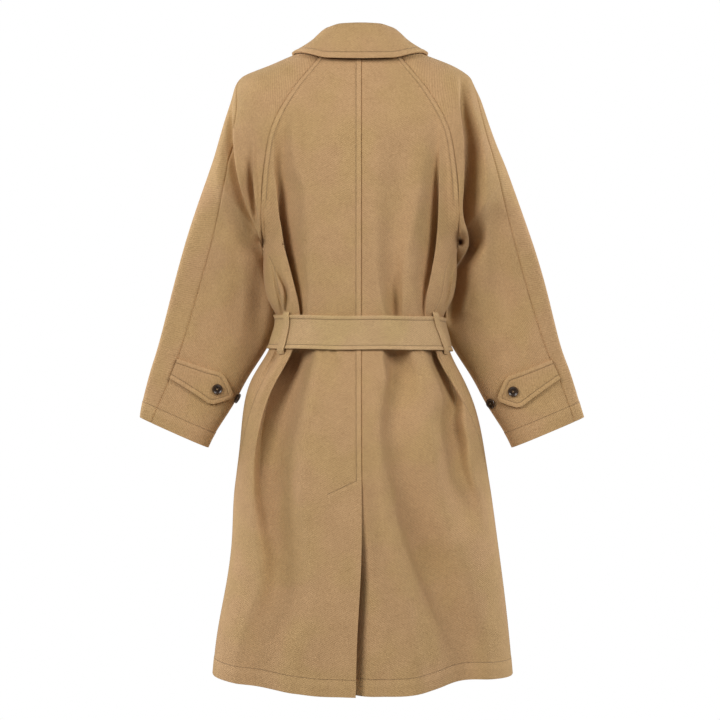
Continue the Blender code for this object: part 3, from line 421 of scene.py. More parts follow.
BACK_FOLDS = (
    # left sleeve: the fold that hangs from the shoulder point, a lesser one nearer the raglan, their ridges
    fold((0.213, 0.046, 0.018, 0.008, 0.0), (0.218, 0.075, 0.02, 0.006, -0.007),
         (0.2205, 0.105, 0.022, 0.005, -0.014), (0.2185, 0.165, 0.028, 0.005, -0.024),
         (0.21, 0.225, 0.036, 0.005, -0.031), (0.1965, 0.271, 0.04, 0.005, -0.034),
         (0.183, 0.308, 0.042, 0.006, -0.032), (0.1745, 0.33, 0.042, 0.007, -0.023),
         (0.168, 0.362, 0.036, 0.012, 0.0), lean=-0.24, core=0.4),
    fold((0.186, 0.13, 0.016, 0.01, 0.0), (0.185, 0.178, 0.016, 0.007, -0.004),
         (0.1845, 0.212, 0.016, 0.005, -0.013), (0.1835, 0.2455, 0.016, 0.005, -0.022),
         (0.18, 0.272, 0.014, 0.005, -0.013), (0.1755, 0.296, 0.012, 0.006, -0.005),
         (0.172, 0.325, 0.01, 0.008, 0.0), lean=-0.22, core=0.2),
    fold((0.215, 0.13, 0.008, 0.008, 0.0), (0.2115, 0.178, 0.009, 0.009, 0.005),
         (0.2012, 0.2455, 0.008, 0.008, 0.005), (0.19, 0.29, 0.008, 0.008, 0.0)),
    fold((0.186, 0.11, 0.01, 0.01, 0.0), (0.182, 0.178, 0.01, 0.01, 0.004),
         (0.1765, 0.2455, 0.01, 0.008, 0.005), (0.1737, 0.296, 0.009, 0.008, 0.005),
         (0.172, 0.33, 0.009, 0.008, 0.0)),
    # the raglan seams' lower ends: a broad swell on each, and a narrow ridge on the seam itself
    fold((0.15, 0.15, 0.016, 0.016, 0.0), (0.16, 0.2, 0.016, 0.018, 0.004),
         (0.165, 0.2455, 0.015, 0.018, 0.009), (0.167, 0.296, 0.013, 0.018, 0.011),
         (0.168, 0.345, 0.012, 0.016, 0.0)),
    fold((-0.15, 0.15, 0.016, 0.016, 0.0), (-0.16, 0.2, 0.018, 0.018, 0.006),
         (-0.165, 0.2455, 0.02, 0.016, 0.014), (-0.168, 0.296, 0.02, 0.014, 0.018),
         (-0.17, 0.34, 0.018, 0.012, 0.0)),
    fold((0.165, 0.23, 0.006, 0.006, 0.0), (0.1664, 0.268, 0.006, 0.006, 0.004),
         (0.1675, 0.292, 0.006, 0.006, 0.007), (0.1672, 0.314, 0.007, 0.006, 0.012),
         (0.1668, 0.325, 0.007, 0.006, 0.014), (0.1664, 0.345, 0.007, 0.006, 0.0)),
    fold((-0.165, 0.23, 0.006, 0.006, 0.0), (-0.1664, 0.268, 0.006, 0.006, 0.004),
         (-0.1675, 0.292, 0.006, 0.006, 0.006), (-0.1672, 0.31, 0.006, 0.006, 0.006),
         (-0.167, 0.324, 0.006, 0.006, 0.0)),
    # left back: the deep fold from the shoulder blade into the belt, and two creases beside it
    fold((0.124, 0.095, 0.022, 0.014, 0.0), (0.1255, 0.14, 0.02, 0.013, -0.006),
         (0.127, 0.18, 0.02, 0.013, -0.014), (0.1285, 0.215, 0.018, 0.024, -0.02),
         (0.1275, 0.2455, 0.014, 0.038, -0.028), (0.1295, 0.275, 0.008, 0.038, -0.036),
         (0.127, 0.305, 0.006, 0.039, -0.041), (0.1165, 0.36, 0.006, 0.035, -0.044),
         (0.105, 0.405, 0.006, 0.024, -0.03), (0.0985, 0.44, 0.005, 0.013, -0.017),
         (0.097, 0.458, 0.005, 0.01, -0.012), (0.097, 0.486, 0.006, 0.008, 0.0), lean=0.22, core=0.3,
         square=2.6),
    fold((0.149, 0.35, 0.006, 0.01, 0.0), (0.1365, 0.387, 0.005, 0.01, -0.008),
         (0.127, 0.407, 0.005, 0.009, -0.012), (0.1235, 0.429, 0.006, 0.007, -0.011),
         (0.1255, 0.446, 0.006, 0.006, -0.008), (0.128, 0.464, 0.005, 0.006, 0.0)),
    fold((0.153, 0.35, 0.006, 0.006, 0.0), (0.144, 0.387, 0.007, 0.005, -0.005),
         (0.1365, 0.417, 0.007, 0.004, -0.008), (0.132, 0.446, 0.006, 0.004, -0.008),
         (0.131, 0.464, 0.005, 0.004, 0.0)),
    # left skirt: the fold under the carrier, the slope behind it, its ridge, a crease and a long swell
    fold((0.101, 0.486, 0.007, 0.026, 0.0), (0.1055, 0.51, 0.007, 0.034, -0.048),
         (0.113, 0.527, 0.007, 0.042, -0.056), (0.122, 0.544, 0.007, 0.05, -0.058),
         (0.139, 0.577, 0.008, 0.06, -0.056), (0.15, 0.609, 0.01, 0.066, -0.05),
         (0.156, 0.637, 0.012, 0.07, -0.044), (0.16, 0.664, 0.014, 0.072, -0.04),
         (0.162, 0.705, 0.018, 0.072, -0.034), (0.16, 0.755, 0.022, 0.068, -0.024),
         (0.15, 0.811, 0.026, 0.06, -0.012), (0.146, 0.87, 0.028, 0.056, 0.0), lean=0.18, square=2.7),
    fold((0.085, 0.5, 0.022, 0.022, 0.0), (0.09, 0.54, 0.026, 0.026, -0.004),
         (0.106, 0.6, 0.03, 0.03, -0.008), (0.128, 0.665, 0.034, 0.036, -0.014),
         (0.134, 0.712, 0.038, 0.04, -0.018), (0.137, 0.762, 0.044, 0.046, -0.024),
         (0.137, 0.811, 0.044, 0.052, -0.027), (0.137, 0.861, 0.03, 0.058, -0.031),
         (0.136, 0.91, 0.034, 0.06, -0.027), (0.146, 0.96, 0.046, 0.06, -0.022),
         (0.164, 1.02, 0.044, 0.06, -0.019), (0.168, 1.095, 0.044, 0.06, -0.017)),
    fold((0.126, 0.514, 0.008, 0.008, 0.0), (0.136, 0.536, 0.009, 0.009, 0.003),
         (0.156, 0.566, 0.011, 0.01, 0.005), (0.169, 0.595, 0.012, 0.01, 0.005),
         (0.18, 0.63, 0.014, 0.012, 0.003), (0.188, 0.68, 0.016, 0.014, 0.0)),
    fold((0.137, 0.5, 0.006, 0.006, 0.0), (0.14, 0.517, 0.007, 0.007, -0.009),
         (0.152, 0.54, 0.008, 0.008, -0.008), (0.164, 0.563, 0.009, 0.009, -0.004),
         (0.172, 0.592, 0.01, 0.01, 0.0)),
    fold((0.07, 0.64, 0.034, 0.034, 0.0), (0.082, 0.74, 0.036, 0.034, 0.004),
         (0.072, 0.86, 0.036, 0.036, 0.006), (0.064, 1.095, 0.04, 0.04, 0.006)),
    # small dents where the belt draws the skirt in
    fold((0.044, 0.5, 0.007, 0.007, 0.0), (0.0445, 0.515, 0.008, 0.008, -0.004),
         (0.047, 0.54, 0.01, 0.01, 0.0)),
    fold((0.062, 0.5, 0.006, 0.006, 0.0), (0.0625, 0.515, 0.007, 0.007, -0.003),
         (0.065, 0.535, 0.009, 0.009, 0.0)),
    # right sleeve: the hollow beside its raglan seam
    fold((-0.171, 0.04, 0.008, 0.016, 0.0), (-0.1735, 0.08, 0.008, 0.016, -0.012),
         (-0.176, 0.111, 0.009, 0.018, -0.024), (-0.184, 0.15, 0.012, 0.022, -0.036),
         (-0.187, 0.178, 0.014, 0.024, -0.046), (-0.1815, 0.2455, 0.007, 0.034, -0.058),
         (-0.1825, 0.296, 0.006, 0.032, -0.056), (-0.192, 0.331, 0.006, 0.024, -0.05),
         (-0.186, 0.35, 0.007, 0.024, -0.044), (-0.1735, 0.37, 0.009, 0.022, -0.038),
         (-0.169, 0.4, 0.012, 0.02, -0.032), (-0.162, 0.438, 0.012, 0.018, -0.028),
         (-0.16, 0.475, 0.012, 0.018, 0.0), lean=0.1, core=0.1),
    # right side: the hollow between the side seam and the sleeve
    fold((-0.166, 0.345, 0.006, 0.006, 0.0), (-0.1605, 0.367, 0.007, 0.006, -0.005),
         (-0.1525, 0.395, 0.007, 0.007, -0.009), (-0.146, 0.429, 0.006, 0.007, -0.009),
         (-0.143, 0.462, 0.006, 0.006, 0.0)),
    # right back: the fold into the belt, and a broad hollow that ends in a crease at the belt
    fold((-0.127, 0.12, 0.024, 0.01, 0.0), (-0.1265, 0.178, 0.024, 0.008, -0.005),
         (-0.1265, 0.21, 0.026, 0.007, -0.013), (-0.1265, 0.2455, 0.03, 0.006, -0.024),
         (-0.1255, 0.296, 0.038, 0.006, -0.034), (-0.121, 0.346, 0.04, 0.006, -0.035),
         (-0.112, 0.396, 0.032, 0.006, -0.028), (-0.106, 0.43, 0.02, 0.006, -0.014),
         (-0.105, 0.45, 0.014, 0.006, -0.009), (-0.105, 0.48, 0.008, 0.006, 0.0), lean=-0.22, core=0.25),
    fold((-0.068, 0.13, 0.04, 0.04, 0.0), (-0.07, 0.18, 0.042, 0.042, -0.006),
         (-0.066, 0.2455, 0.042, 0.044, -0.01), (-0.06, 0.296, 0.036, 0.036, -0.011),
         (-0.056, 0.347, 0.03, 0.026, -0.012), (-0.0575, 0.396, 0.03, 0.016, -0.016),
         (-0.062, 0.432, 0.028, 0.01, -0.023), (-0.0625, 0.456, 0.022, 0.008, -0.02),
         (-0.062, 0.482, 0.012, 0.008, 0.0)),
    # right skirt: the fold at the carrier, the long ridge to the hem and the hollow beside it
    fold((-0.118, 0.486, 0.016, 0.006, 0.0), (-0.1225, 0.512, 0.016, 0.006, -0.022),
         (-0.129, 0.532, 0.02, 0.006, -0.031), (-0.141, 0.555, 0.024, 0.007, -0.037),
         (-0.151, 0.582, 0.028, 0.014, -0.038), (-0.154, 0.6, 0.03, 0.022, -0.036),
         (-0.149, 0.621, 0.032, 0.032, -0.038), (-0.155, 0.663, 0.034, 0.03, -0.04),
         (-0.16, 0.712, 0.036, 0.03, -0.031), (-0.174, 0.762, 0.042, 0.032, -0.022),
         (-0.18, 0.83, 0.042, 0.03, 0.0), lean=-0.16, square=2.4),
    fold((-0.022, 0.53, 0.022, 0.016, 0.0), (-0.025, 0.6, 0.026, 0.016, 0.004),
         (-0.029, 0.7, 0.028, 0.017, 0.007), (-0.04, 0.785, 0.034, 0.02, 0.01),
         (-0.054, 0.845, 0.04, 0.022, 0.013), (-0.067, 0.9, 0.046, 0.026, 0.014),
         (-0.076, 0.9535, 0.052, 0.032, 0.014), (-0.088, 1.017, 0.056, 0.034, 0.013),
         (-0.092, 1.095, 0.058, 0.036, 0.012)),
    fold((-0.053, 0.494, 0.016, 0.022, 0.0), (-0.0545, 0.512, 0.018, 0.034, -0.032),
         (-0.055, 0.527, 0.018, 0.04, -0.034), (-0.057, 0.555, 0.016, 0.05, -0.032),
         (-0.055, 0.589, 0.018, 0.056, -0.024), (-0.052, 0.622, 0.02, 0.062, -0.018),
         (-0.054, 0.663, 0.022, 0.066, -0.016), (-0.062, 0.712, 0.022, 0.07, -0.02),
         (-0.072, 0.762, 0.02, 0.074, -0.027), (-0.082, 0.811, 0.02, 0.076, -0.034),
         (-0.099, 0.861, 0.022, 0.076, -0.037), (-0.119, 0.91, 0.028, 0.072, -0.033),
         (-0.14, 0.96, 0.034, 0.066, -0.028), (-0.16, 1.01, 0.042, 0.058, -0.024),
         (-0.164, 1.095, 0.046, 0.052, -0.022)),
    # sleeves: slight swells and hollows at the elbow
    fold((0.226, 0.29, 0.024, 0.022, 0.0), (0.229, 0.338, 0.026, 0.022, 0.003),
         (0.2345, 0.4185, 0.028, 0.024, 0.004), (0.25, 0.5, 0.03, 0.026, 0.0)),
    fold((0.19, 0.35, 0.02, 0.016, 0.0), (0.179, 0.385, 0.026, 0.018, -0.005),
         (0.175, 0.425, 0.028, 0.02, -0.007), (0.186, 0.49, 0.026, 0.022, -0.004),
         (0.205, 0.55, 0.02, 0.02, 0.0)),
    fold((-0.213, 0.31, 0.016, 0.02, 0.0), (-0.209, 0.36, 0.018, 0.022, 0.004),
         (-0.205, 0.419, 0.02, 0.024, 0.005), (-0.22, 0.5, 0.022, 0.026, 0.0)),
    fold((-0.236, 0.27, 0.018, 0.018, 0.0), (-0.2355, 0.327, 0.02, 0.022, -0.004),
         (-0.246, 0.4, 0.022, 0.024, -0.004), (-0.268, 0.48, 0.022, 0.022, 0.0)),
)

FRONT_FOLDS = (
    # left front: two folds into the belt, the skirt's fold and two swells
    fold((0.116, 0.19, 0.024, 0.018, 0.0), (0.114, 0.27, 0.02, 0.016, -0.008),
         (0.104, 0.35, 0.018, 0.014, -0.012), (0.094, 0.42, 0.014, 0.01, -0.01),
         (0.09, 0.456, 0.01, 0.008, -0.007), (0.089, 0.484, 0.01, 0.008, 0.0)),
    fold((0.06, 0.33, 0.014, 0.012, 0.0), (0.056, 0.4, 0.012, 0.01, -0.004),
         (0.054, 0.452, 0.009, 0.008, -0.006), (0.054, 0.48, 0.009, 0.008, 0.0)),
    fold((0.085, 0.49, 0.018, 0.014, 0.0), (0.094, 0.54, 0.024, 0.018, -0.012),
         (0.112, 0.62, 0.034, 0.026, -0.016), (0.134, 0.8, 0.042, 0.034, -0.016),
         (0.146, 1.095, 0.044, 0.038, -0.017)),
    fold((0.08, 0.56, 0.03, 0.03, 0.0), (0.086, 0.74, 0.032, 0.032, 0.008),
         (0.094, 1.095, 0.034, 0.034, 0.01)),
    fold((0.19, 0.7, 0.026, 0.024, 0.0), (0.2, 0.86, 0.03, 0.026, 0.006),
         (0.204, 1.095, 0.032, 0.028, 0.007)),
    # right front: two folds into the belt, the skirt's fold and a swell
    fold((-0.118, 0.2, 0.016, 0.022, 0.0), (-0.116, 0.3, 0.014, 0.018, -0.008),
         (-0.106, 0.4, 0.012, 0.014, -0.011), (-0.097, 0.456, 0.008, 0.01, -0.007),
         (-0.096, 0.484, 0.008, 0.01, 0.0)),
    fold((-0.07, 0.35, 0.012, 0.014, 0.0), (-0.066, 0.42, 0.01, 0.011, -0.004),
         (-0.064, 0.456, 0.008, 0.008, -0.005), (-0.064, 0.48, 0.008, 0.008, 0.0)),
    fold((-0.092, 0.49, 0.014, 0.018, 0.0), (-0.102, 0.54, 0.018, 0.024, -0.011),
         (-0.124, 0.64, 0.028, 0.036, -0.016), (-0.132, 0.85, 0.034, 0.042, -0.018),
         (-0.128, 1.095, 0.038, 0.044, -0.018)),
    fold((-0.17, 0.64, 0.03, 0.03, 0.0), (-0.184, 0.85, 0.032, 0.032, 0.007),
         (-0.19, 1.095, 0.034, 0.034, 0.008)),
    # sleeves: a fold from each shoulder point and a hollow at each elbow
    fold((0.215, 0.08, 0.02, 0.016, 0.0), (0.208, 0.15, 0.022, 0.014, -0.009),
         (0.196, 0.23, 0.024, 0.014, -0.012), (0.18, 0.31, 0.022, 0.014, -0.008),
         (0.174, 0.35, 0.02, 0.014, 0.0)),
    fold((-0.205, 0.085, 0.014, 0.02, 0.0), (-0.2, 0.16, 0.014, 0.022, -0.01),
         (-0.19, 0.24, 0.014, 0.024, -0.012), (-0.18, 0.31, 0.014, 0.022, -0.008),
         (-0.176, 0.35, 0.014, 0.02, 0.0)),
    fold((0.214, 0.33, 0.02, 0.02, 0.0), (0.222, 0.4, 0.022, 0.02, -0.005), (0.246, 0.5, 0.024, 0.022, 0.0)),
    fold((-0.206, 0.33, 0.02, 0.02, 0.0), (-0.216, 0.41, 0.02, 0.022, -0.005),
         (-0.242, 0.51, 0.022, 0.024, 0.0)),
)


def fold_moves(folds: Sequence[Fold], x: Array, drop: Array) -> tuple[Array, Array]:
    """What a table's folds do to the cloth.

    Args:
        folds: The folds.
        x: Places across.
        drop: Places down.

    Returns:
        How far the cloth is moved towards plus x, and how far out.
    """
    x, drop = np.broadcast_arrays(x, drop)
    over, out = np.zeros(x.shape), np.zeros(x.shape)
    for f in folds:
        height = f.height(x, drop)
        over = over + f.lean * np.abs(height)
        out = out + height
    return over, out


def crowded(at: Array, x: Array, drop: Array, folds: Sequence[Fold], count: int, pull: float) -> Array:
    """Columns of a panel that lie closer together at its edges and at its lapped folds.

    Args:
        at: Many places along each row, as the panel counts them.
        x: Where they lie across.
        drop: Where they lie down.
        folds: The folds.
        count: How many steps are wanted.
        pull: How much closer the edges' columns lie.

    Returns:
        The wanted places along each row.
    """
    t = np.linspace(0.0, 1.0, at.shape[1])[None, :]
    at_folds = sum((f.crowd(x, drop) for f in folds), np.zeros(at.shape))
    weight = at_folds + 1.0 / (1.0 - pull * np.cos(2.0 * np.pi * t))
    steps = np.cumsum((weight[:, 1:] + weight[:, :-1]) * 0.5, axis=1)
    share = np.concatenate([np.zeros((len(at), 1)), steps / steps[:, -1:]], axis=1)
    wanted = np.linspace(0.0, 1.0, count + 1)
    return np.stack([np.interp(wanted, s, a) for s, a in zip(share, at)])


@dataclass(frozen=True)
class Pucker:
    """A small hole that the cloth draws in round, with a roll about it."""

    place: tuple[float, float, float]
    depth: float
    roll: float
    hole: float = 0.0045
    radius: float = 0.0115
    roll_width: float = 0.0055
    squash: tuple[float, float, float] = (1.0, 0.35, 0.8)

    def out(self, points: Array) -> Array:
        """How far the cloth is moved towards plus Y.

        Args:
            points: Places on the cloth.

        Returns:
            The distance at each place.
        """
        d = np.linalg.norm((points - np.array(self.place)) * np.array(self.squash), axis=-1)
        return self.roll * bell((d - self.radius) / self.roll_width) - self.depth * bell(d / self.hole)


UNDERARM_PUCKERS = (
    Pucker((-0.1714, 0.041, -0.328), 0.040, 0.002, hole=0.0070),
    Pucker((0.1700, 0.012, -0.322), 0.007, 0.002),
)


def puckered(points: Array) -> Array:
    """The cloth with the underarm puckers.

    Args:
        points: Places on the cloth.

    Returns:
        The moved places.
    """
    moved = points.copy()
    moved[..., 1] += sum(p.out(points) for p in UNDERARM_PUCKERS)
    return moved


def ripple(x: Array, drop: Array, slow_height: float = 0.0006, quick_height: float = 0.0003) -> Array:
    """A slight unevenness of hung cloth, which fades at the neck.

    Args:
        x: Places across.
        drop: Places down.
        slow_height: The height of the long waves.
        quick_height: The height of the short waves.

    Returns:
        A distance of less than a millimetre.
    """
    fade = ease((drop - NECK_SMOOTH) / NECK_FADE)
    slow = np.sin(31.0 * x + 2.0 * np.sin(9.0 * drop)) * np.sin(17.0 * drop + 4.0 * x + 0.6)
    quick = np.sin(73.0 * x - 21.0 * drop + 1.3) * np.sin(44.0 * drop + 13.0 * x)
    return (slow_height * slow + quick_height * quick) * fade


@dataclass
class BodyForm:
    """The coat's body as sections by height, with its seams, its hem and its folds."""

    underarm: float = 0.335
    foot: float = 1.080
    hem_start: float = 0.95
    side_share: float = 0.35
    levels: dict[str, Curve] = field(default_factory=lambda: column_curves(BODY_LEVELS, "drop"))
    side: Curve = field(default_factory=lambda: Curve(*zip(*SIDE_SEAM)))
    hem: Curve = field(default_factory=lambda: Curve(*zip(*HEM_LINE)))
    raglan: dict[str, Curve] = field(default_factory=lambda: column_curves(RAGLAN_SEAM))

    def depth(self, angle: Array, drop: Array) -> Array:
        """The section's depth on the side that an angle faces."""
        return np.where(np.cos(angle) >= 0.0, self.levels["back"](drop), self.levels["front"](drop))

    def smooth(self, angle: Array, drop: Array) -> Array:
        """The body without its folds.

        Args:
            angle: Radians from the centre back, the left side plus.
            drop: Distance below the neck seam.

        Returns:
            Points.
        """
        x = self.levels["half_width"](drop) * np.sin(angle) + self.levels["lean"](drop)
        y = self.depth(angle, drop) * np.cos(angle)
        return np.stack(np.broadcast_arrays(x, y, -drop), axis=-1)

    def outward(self, angle: Array, drop: Array) -> Array:
        """The level way out of the body.

        Args:
            angle: Radians from the centre back.
            drop: Distance below the neck seam.

        Returns:
            Ways of length one.
        """
        across = np.sin(angle) / self.levels["half_width"](drop)
        behind = np.cos(angle) / self.depth(angle, drop)
        return unit(np.stack(np.broadcast_arrays(across, behind, 0.0 * drop), axis=-1))

    def facing(self, angle: Array) -> Array:
        """How far a place takes part in the folds behind (plus) or before (minus)."""
        c = np.cos(angle)
        return ease(np.abs(c) / self.side_share) * np.sign(c)

    def place(self, angle: Array, drop: Array, out: Array | float = 0.0) -> Array:
        """The body's outer face with its folds.

        Args:
            angle: Radians from the centre back.
            drop: Distance below the neck seam.
            out: How far the face is moved out.

        Returns:
            Points.
        """
        p = self.smooth(angle, drop)
        f = self.facing(angle)
        x, d = p[..., 0].copy(), -p[..., 2]
        uneven = ripple(x, d)
        over, behind = fold_moves(BACK_FOLDS, x, d)
        under, before = fold_moves(FRONT_FOLDS, x, d)
        p[..., 0] += np.abs(f) * np.where(f > 0.0, over, under)
        p[..., 1] += f * (np.where(f > 0.0, behind, before) + uneven)
        return puckered(p) + self.outward(angle, drop) * np.asarray(out)[..., None]

    def to_hem(self, angle: Array, drop: Array) -> Array:
        """Drops that follow the hem's own line near the foot.

        Args:
            angle: Radians from the centre back.
            drop: Distance below the neck seam, down to a level foot.

        Returns:
            The changed drops.
        """
        turned = np.degrees(np.arctan2(np.sin(angle), np.cos(angle)))
        near = ease((drop - self.hem_start) / (self.foot - self.hem_start))
        return drop + (self.hem(turned) - self.foot) * near


@dataclass
class SleeveForm:
    """A pair of raglan sleeves as rows from the neck to the cuff, on a body."""

    body: BodyForm
    early: float = 0.35
    late: float = 0.84
    late_span: float = 0.16
    fuller: float = 0.35
    fuller_rows: float = 1.5
    rows: dict[str, Curve] = field(default_factory=lambda: column_curves(SLEEVE_ROWS))

    def seam_turn(self, side: Side, row: Array) -> Array:
        """The over-arm seam's turn from the outer edge, in radians."""
        return np.radians(np.maximum(self.rows["seam_" + side.word](row), 0.0))

    def sweep(self, row: Array) -> Array:
        """How far a row sweeps round from the outer edge to its end, in radians."""
        return np.radians(np.minimum(self.rows["sweep"](row), 180.0))

    def inner_edge(self, side: Side, row: Array, before: bool) -> tuple[Array, Array]:
        """Where a row ends.

        Args:
            side: Which sleeve.
            row: The rows.
            before: Whether it is the front half.

        Returns:
            The end points, and how far each takes part in the body's folds.
        """
        key = "front" if before else "back"
        on_seam = np.minimum(row, UNDERARM_ROW)
        angle = np.radians(self.body.raglan["angle_" + key](on_seam)) * side.value
        seam = self.body.smooth(angle, self.body.raglan["drop_" + key](on_seam))
        low = np.array(self.body.underarm)
        underarm = self.body.smooth(np.radians(self.body.side(low)) * side.value, low)
        rows = [UNDERARM_ROW] + [f.row for f in INNER_FOLD]
        ends = [underarm] + [np.array([side.value * f.x, f.y, f.z]) for f in INNER_FOLD]
        arm = Curve(rows, ends)(row)
        return np.where((row <= UNDERARM_ROW)[..., None], seam, arm), np.abs(self.body.facing(angle))

    def half(self, side: Side, row: Array, turn: Array, before: bool) -> Array:
        """The back or the front half of a sleeve.

        Args:
            side: Which sleeve.
            row: Rows from the neck, 0, to the cuff.
            turn: Radians from the outer edge, not below 0.
            before: Whether it is the front half.

        Returns:
            Points.
        """
        edge, facing = self.inner_edge(side, row, before)
        sweep = self.sweep(row)
        turn = np.minimum(turn, sweep)
        x = side.value * self.rows[side.word](row)
        y, z = self.rows["y"](row), self.rows["z"](row)
        across = (1.0 - np.cos(turn)) / (1.0 - np.cos(sweep))
        part = turn / sweep
        sign = -1.0 if before else 1.0
        bulge = self.rows["bulge_front" if before else "bulge_back"](row) * sign
        px = x + (edge[..., 0] - x) * across
        pz = z + (edge[..., 2] - z) * across
        fuller = self.fuller * ease((row - UNDERARM_ROW) / self.fuller_rows)
        full = np.maximum(np.sin(turn), 0.0) ** (1.0 - fuller)
        py = y + (edge[..., 1] - y) * part + bulge * (full - part * np.sin(sweep))
        late = ease((part - self.late) / self.late_span)
        joined = np.where(row <= UNDERARM_ROW, facing, 0.0)
        weight = ease(part / self.early) * (1.0 - late + late * joined)
        over, moved = fold_moves(FRONT_FOLDS if before else BACK_FOLDS, px, -pz)
        moved = moved + ripple(px, -pz)
        points = np.stack(np.broadcast_arrays(px + over * weight, py + sign * moved * weight, pz), axis=-1)
        return puckered(points)

    def place(self, side: Side, row: Array, turn: Array) -> Array:
        """A sleeve's outer face.

        Args:
            side: Which sleeve.
            row: Rows from the neck, 0, to the cuff.
            turn: Radians from the outer edge; above 0 is behind it, below 0 before it.

        Returns:
            Points.
        """
        row, turn = np.broadcast_arrays(np.asarray(row, float), np.asarray(turn, float))
        behind = self.half(side, row, np.maximum(turn, 0.0), False)
        before = self.half(side, row, np.maximum(-turn, 0.0), True)
        return np.where((turn >= 0.0)[..., None], behind, before)

    def middle(self, side: Side, row: Array) -> Array:
        """The sleeve's middle line at its rows."""
        return (self.place(side, row, 0.0 * row) + self.place(side, row, self.sweep(row))) * 0.5


@dataclass
class Rows:
    """The fine rows that the panels share."""

    body: BodyForm
    seam_rows: int = 72
    arm_rows: int = 112
    hem_rows: int = 22
    fine: int = 400
    stretches: tuple[tuple[float, int], ...] = (
        (0.440, 24), (0.530, 30), (0.715, 40), (0.765, 22), (1.034, 54))

    def seam(self) -> Array:
        """Rows down the raglan seam at even drops.

        Returns:
            Row numbers from the neck, without the underarm's own.
        """
        rows = np.linspace(0.0, UNDERARM_ROW, self.fine)
        drops = self.body.raglan["drop_back"](rows)
        return np.interp(np.linspace(drops[0], drops[-1], self.seam_rows + 1), drops, rows)[:-1]

    def arm(self) -> Array:
        """Sleeve rows from the underarm to the cuff."""
        return np.linspace(UNDERARM_ROW, CUFF_ROW, self.arm_rows + 1)

    def skirt(self) -> Array:
        """Rows below the underarm, closer at the belt, at the vent's top and at the hem.

        Returns:
            Drops from the underarm to the foot.
        """
        starts = [self.body.underarm] + [end for end, _ in self.stretches]
        steps = [np.linspace(a, b, n, endpoint=False) for a, (b, n) in zip(starts, self.stretches)]
        return np.concatenate(steps + [np.linspace(starts[-1], self.body.foot, self.hem_rows)])


def grid_normals(points: Array, outward: Array, ring: bool = False) -> Array:
    """Unit normals of a grid of places.

    Args:
        points: The grid.
        outward: A rough way out at each place.
        ring: Whether the last column meets the first.

    Returns:
        The normals, turned outwards.
    """
    down = np.gradient(points, axis=0)
    if ring:
        over = (np.roll(points[:, :-1], -1, axis=1) - np.roll(points[:, :-1], 1, axis=1)) * 0.5
        over = np.concatenate([over, over[:, :1]], axis=1)
    else:
        over = np.gradient(points, axis=1)
    n = unit(np.cross(over, down))
    return -n if np.sum(n * outward) < 0.0 else n


def finished(bm: bmesh.types.BMesh, name: str) -> Mesh:
    """Ends the work on a bmesh.

    Args:
        bm: The bmesh, which is freed.
        name: The mesh's name.

    Returns:
        The mesh, with smooth faces.
    """
    for f in bm.faces:
        f.smooth = True
    mesh = bpy.data.meshes.new(name)
    bm.to_mesh(mesh)
    bm.free()
    return mesh


def linked(name: str, data: ID) -> Object:
    """Adds an object to the scene.

    Args:
        name: Its name.
        data: Its mesh, light or camera.

    Returns:
        The object.
    """
    made = bpy.data.objects.new(name, data)
    bpy.context.scene.collection.objects.link(made)
    return made


def rim_of(points: Array) -> Array:
    """The line down a grid's first column, along its foot and up its last column."""
    return np.concatenate([points[:, 0], points[-1], points[::-1, -1]])


def level_out(points: Array) -> Array:
    """The level way out from the coat's upright middle line."""
    return points * np.array([1.0, 1.0, 0.0])


def distance_to(points: Array, line: Array, reach: float = NO_STITCH, step: float = 0.0006) -> Array:
    """How far places lie from a line.

    Args:
        points: A grid of places.
        line: The line's points.
        reach: The most that is told.
        step: How closely the line is walked.

    Returns:
        A distance for each place.
    """
    lengths = lengths_along(line)
    path = walked(line, lengths, np.linspace(0.0, lengths[-1], max(2, int(lengths[-1] / step))))
    tree = KDTree(len(path))
    for i, p in enumerate(path):
        tree.insert(p, i)
    tree.balance()
    low, high = path.min(axis=0) - reach, path.max(axis=0) + reach
    flat = points.reshape(-1, 3)
    near = np.flatnonzero(np.all((flat > low) & (flat < high), axis=1))
    far = np.full(len(flat), reach)
    for i in near:
        far[i] = min(reach, tree.find(flat[i])[2])
    return far.reshape(points.shape[:-1])


@dataclass(frozen=True)
class Welt:
    """A turned edge that is sewn down.

    It has a width, a height that it stands out by, a stitch line at a distance from the edge, and a roll by
    which the edge itself turns in.
    """

    width: float
    height: float
    stitch: float
    roll: float = 0.0
    roll_width: float = 0.0014
    dent: float = 0.25
    dent_width: float = 0.0011
    slope: float = 0.0024
    slope_start: float = 0.0009

    def raised(self, d: Array) -> Array:
        """How far the cloth stands out.

        Args:
            d: Distances from the edge.

        Returns:
            The height at each.
        """
        dent = self.dent * bell((d - self.stitch) / self.dent_width)
        flat = 1.0 - ease((d - self.width + self.slope_start) / self.slope) - dent
        return self.height * flat - self.roll * bell(d / self.roll_width)

    def line(self, d: Array) -> Array:
        """The distance from the stitch line, minus towards the edge."""
        return d - self.stitch


@dataclass(frozen=True)
class PuffedEdge:
    """A doubled edge that puffs up between its rim and its stitch line."""

    stitch: float
    puff: float
    dent: float
    dent_width: float

    def sew(self, cloth: "Cloth", d: Array, where: Array | bool = True) -> None:
        """Gives a cloth its stitch line and its puffed edge.

        Args:
            cloth: The cloth.
            d: The distance of its places from the rim.
            where: The places that take part.
        """
        cloth.stitch = np.where(where, d - self.stitch, NO_STITCH)
        puff = self.puff * np.sin(np.pi * np.clip(d / self.stitch, 0.0, 1.0))
        puff = puff - self.dent * bell((d - self.stitch) / self.dent_width)
        cloth.raise_by(np.where(where, puff, 0.0))


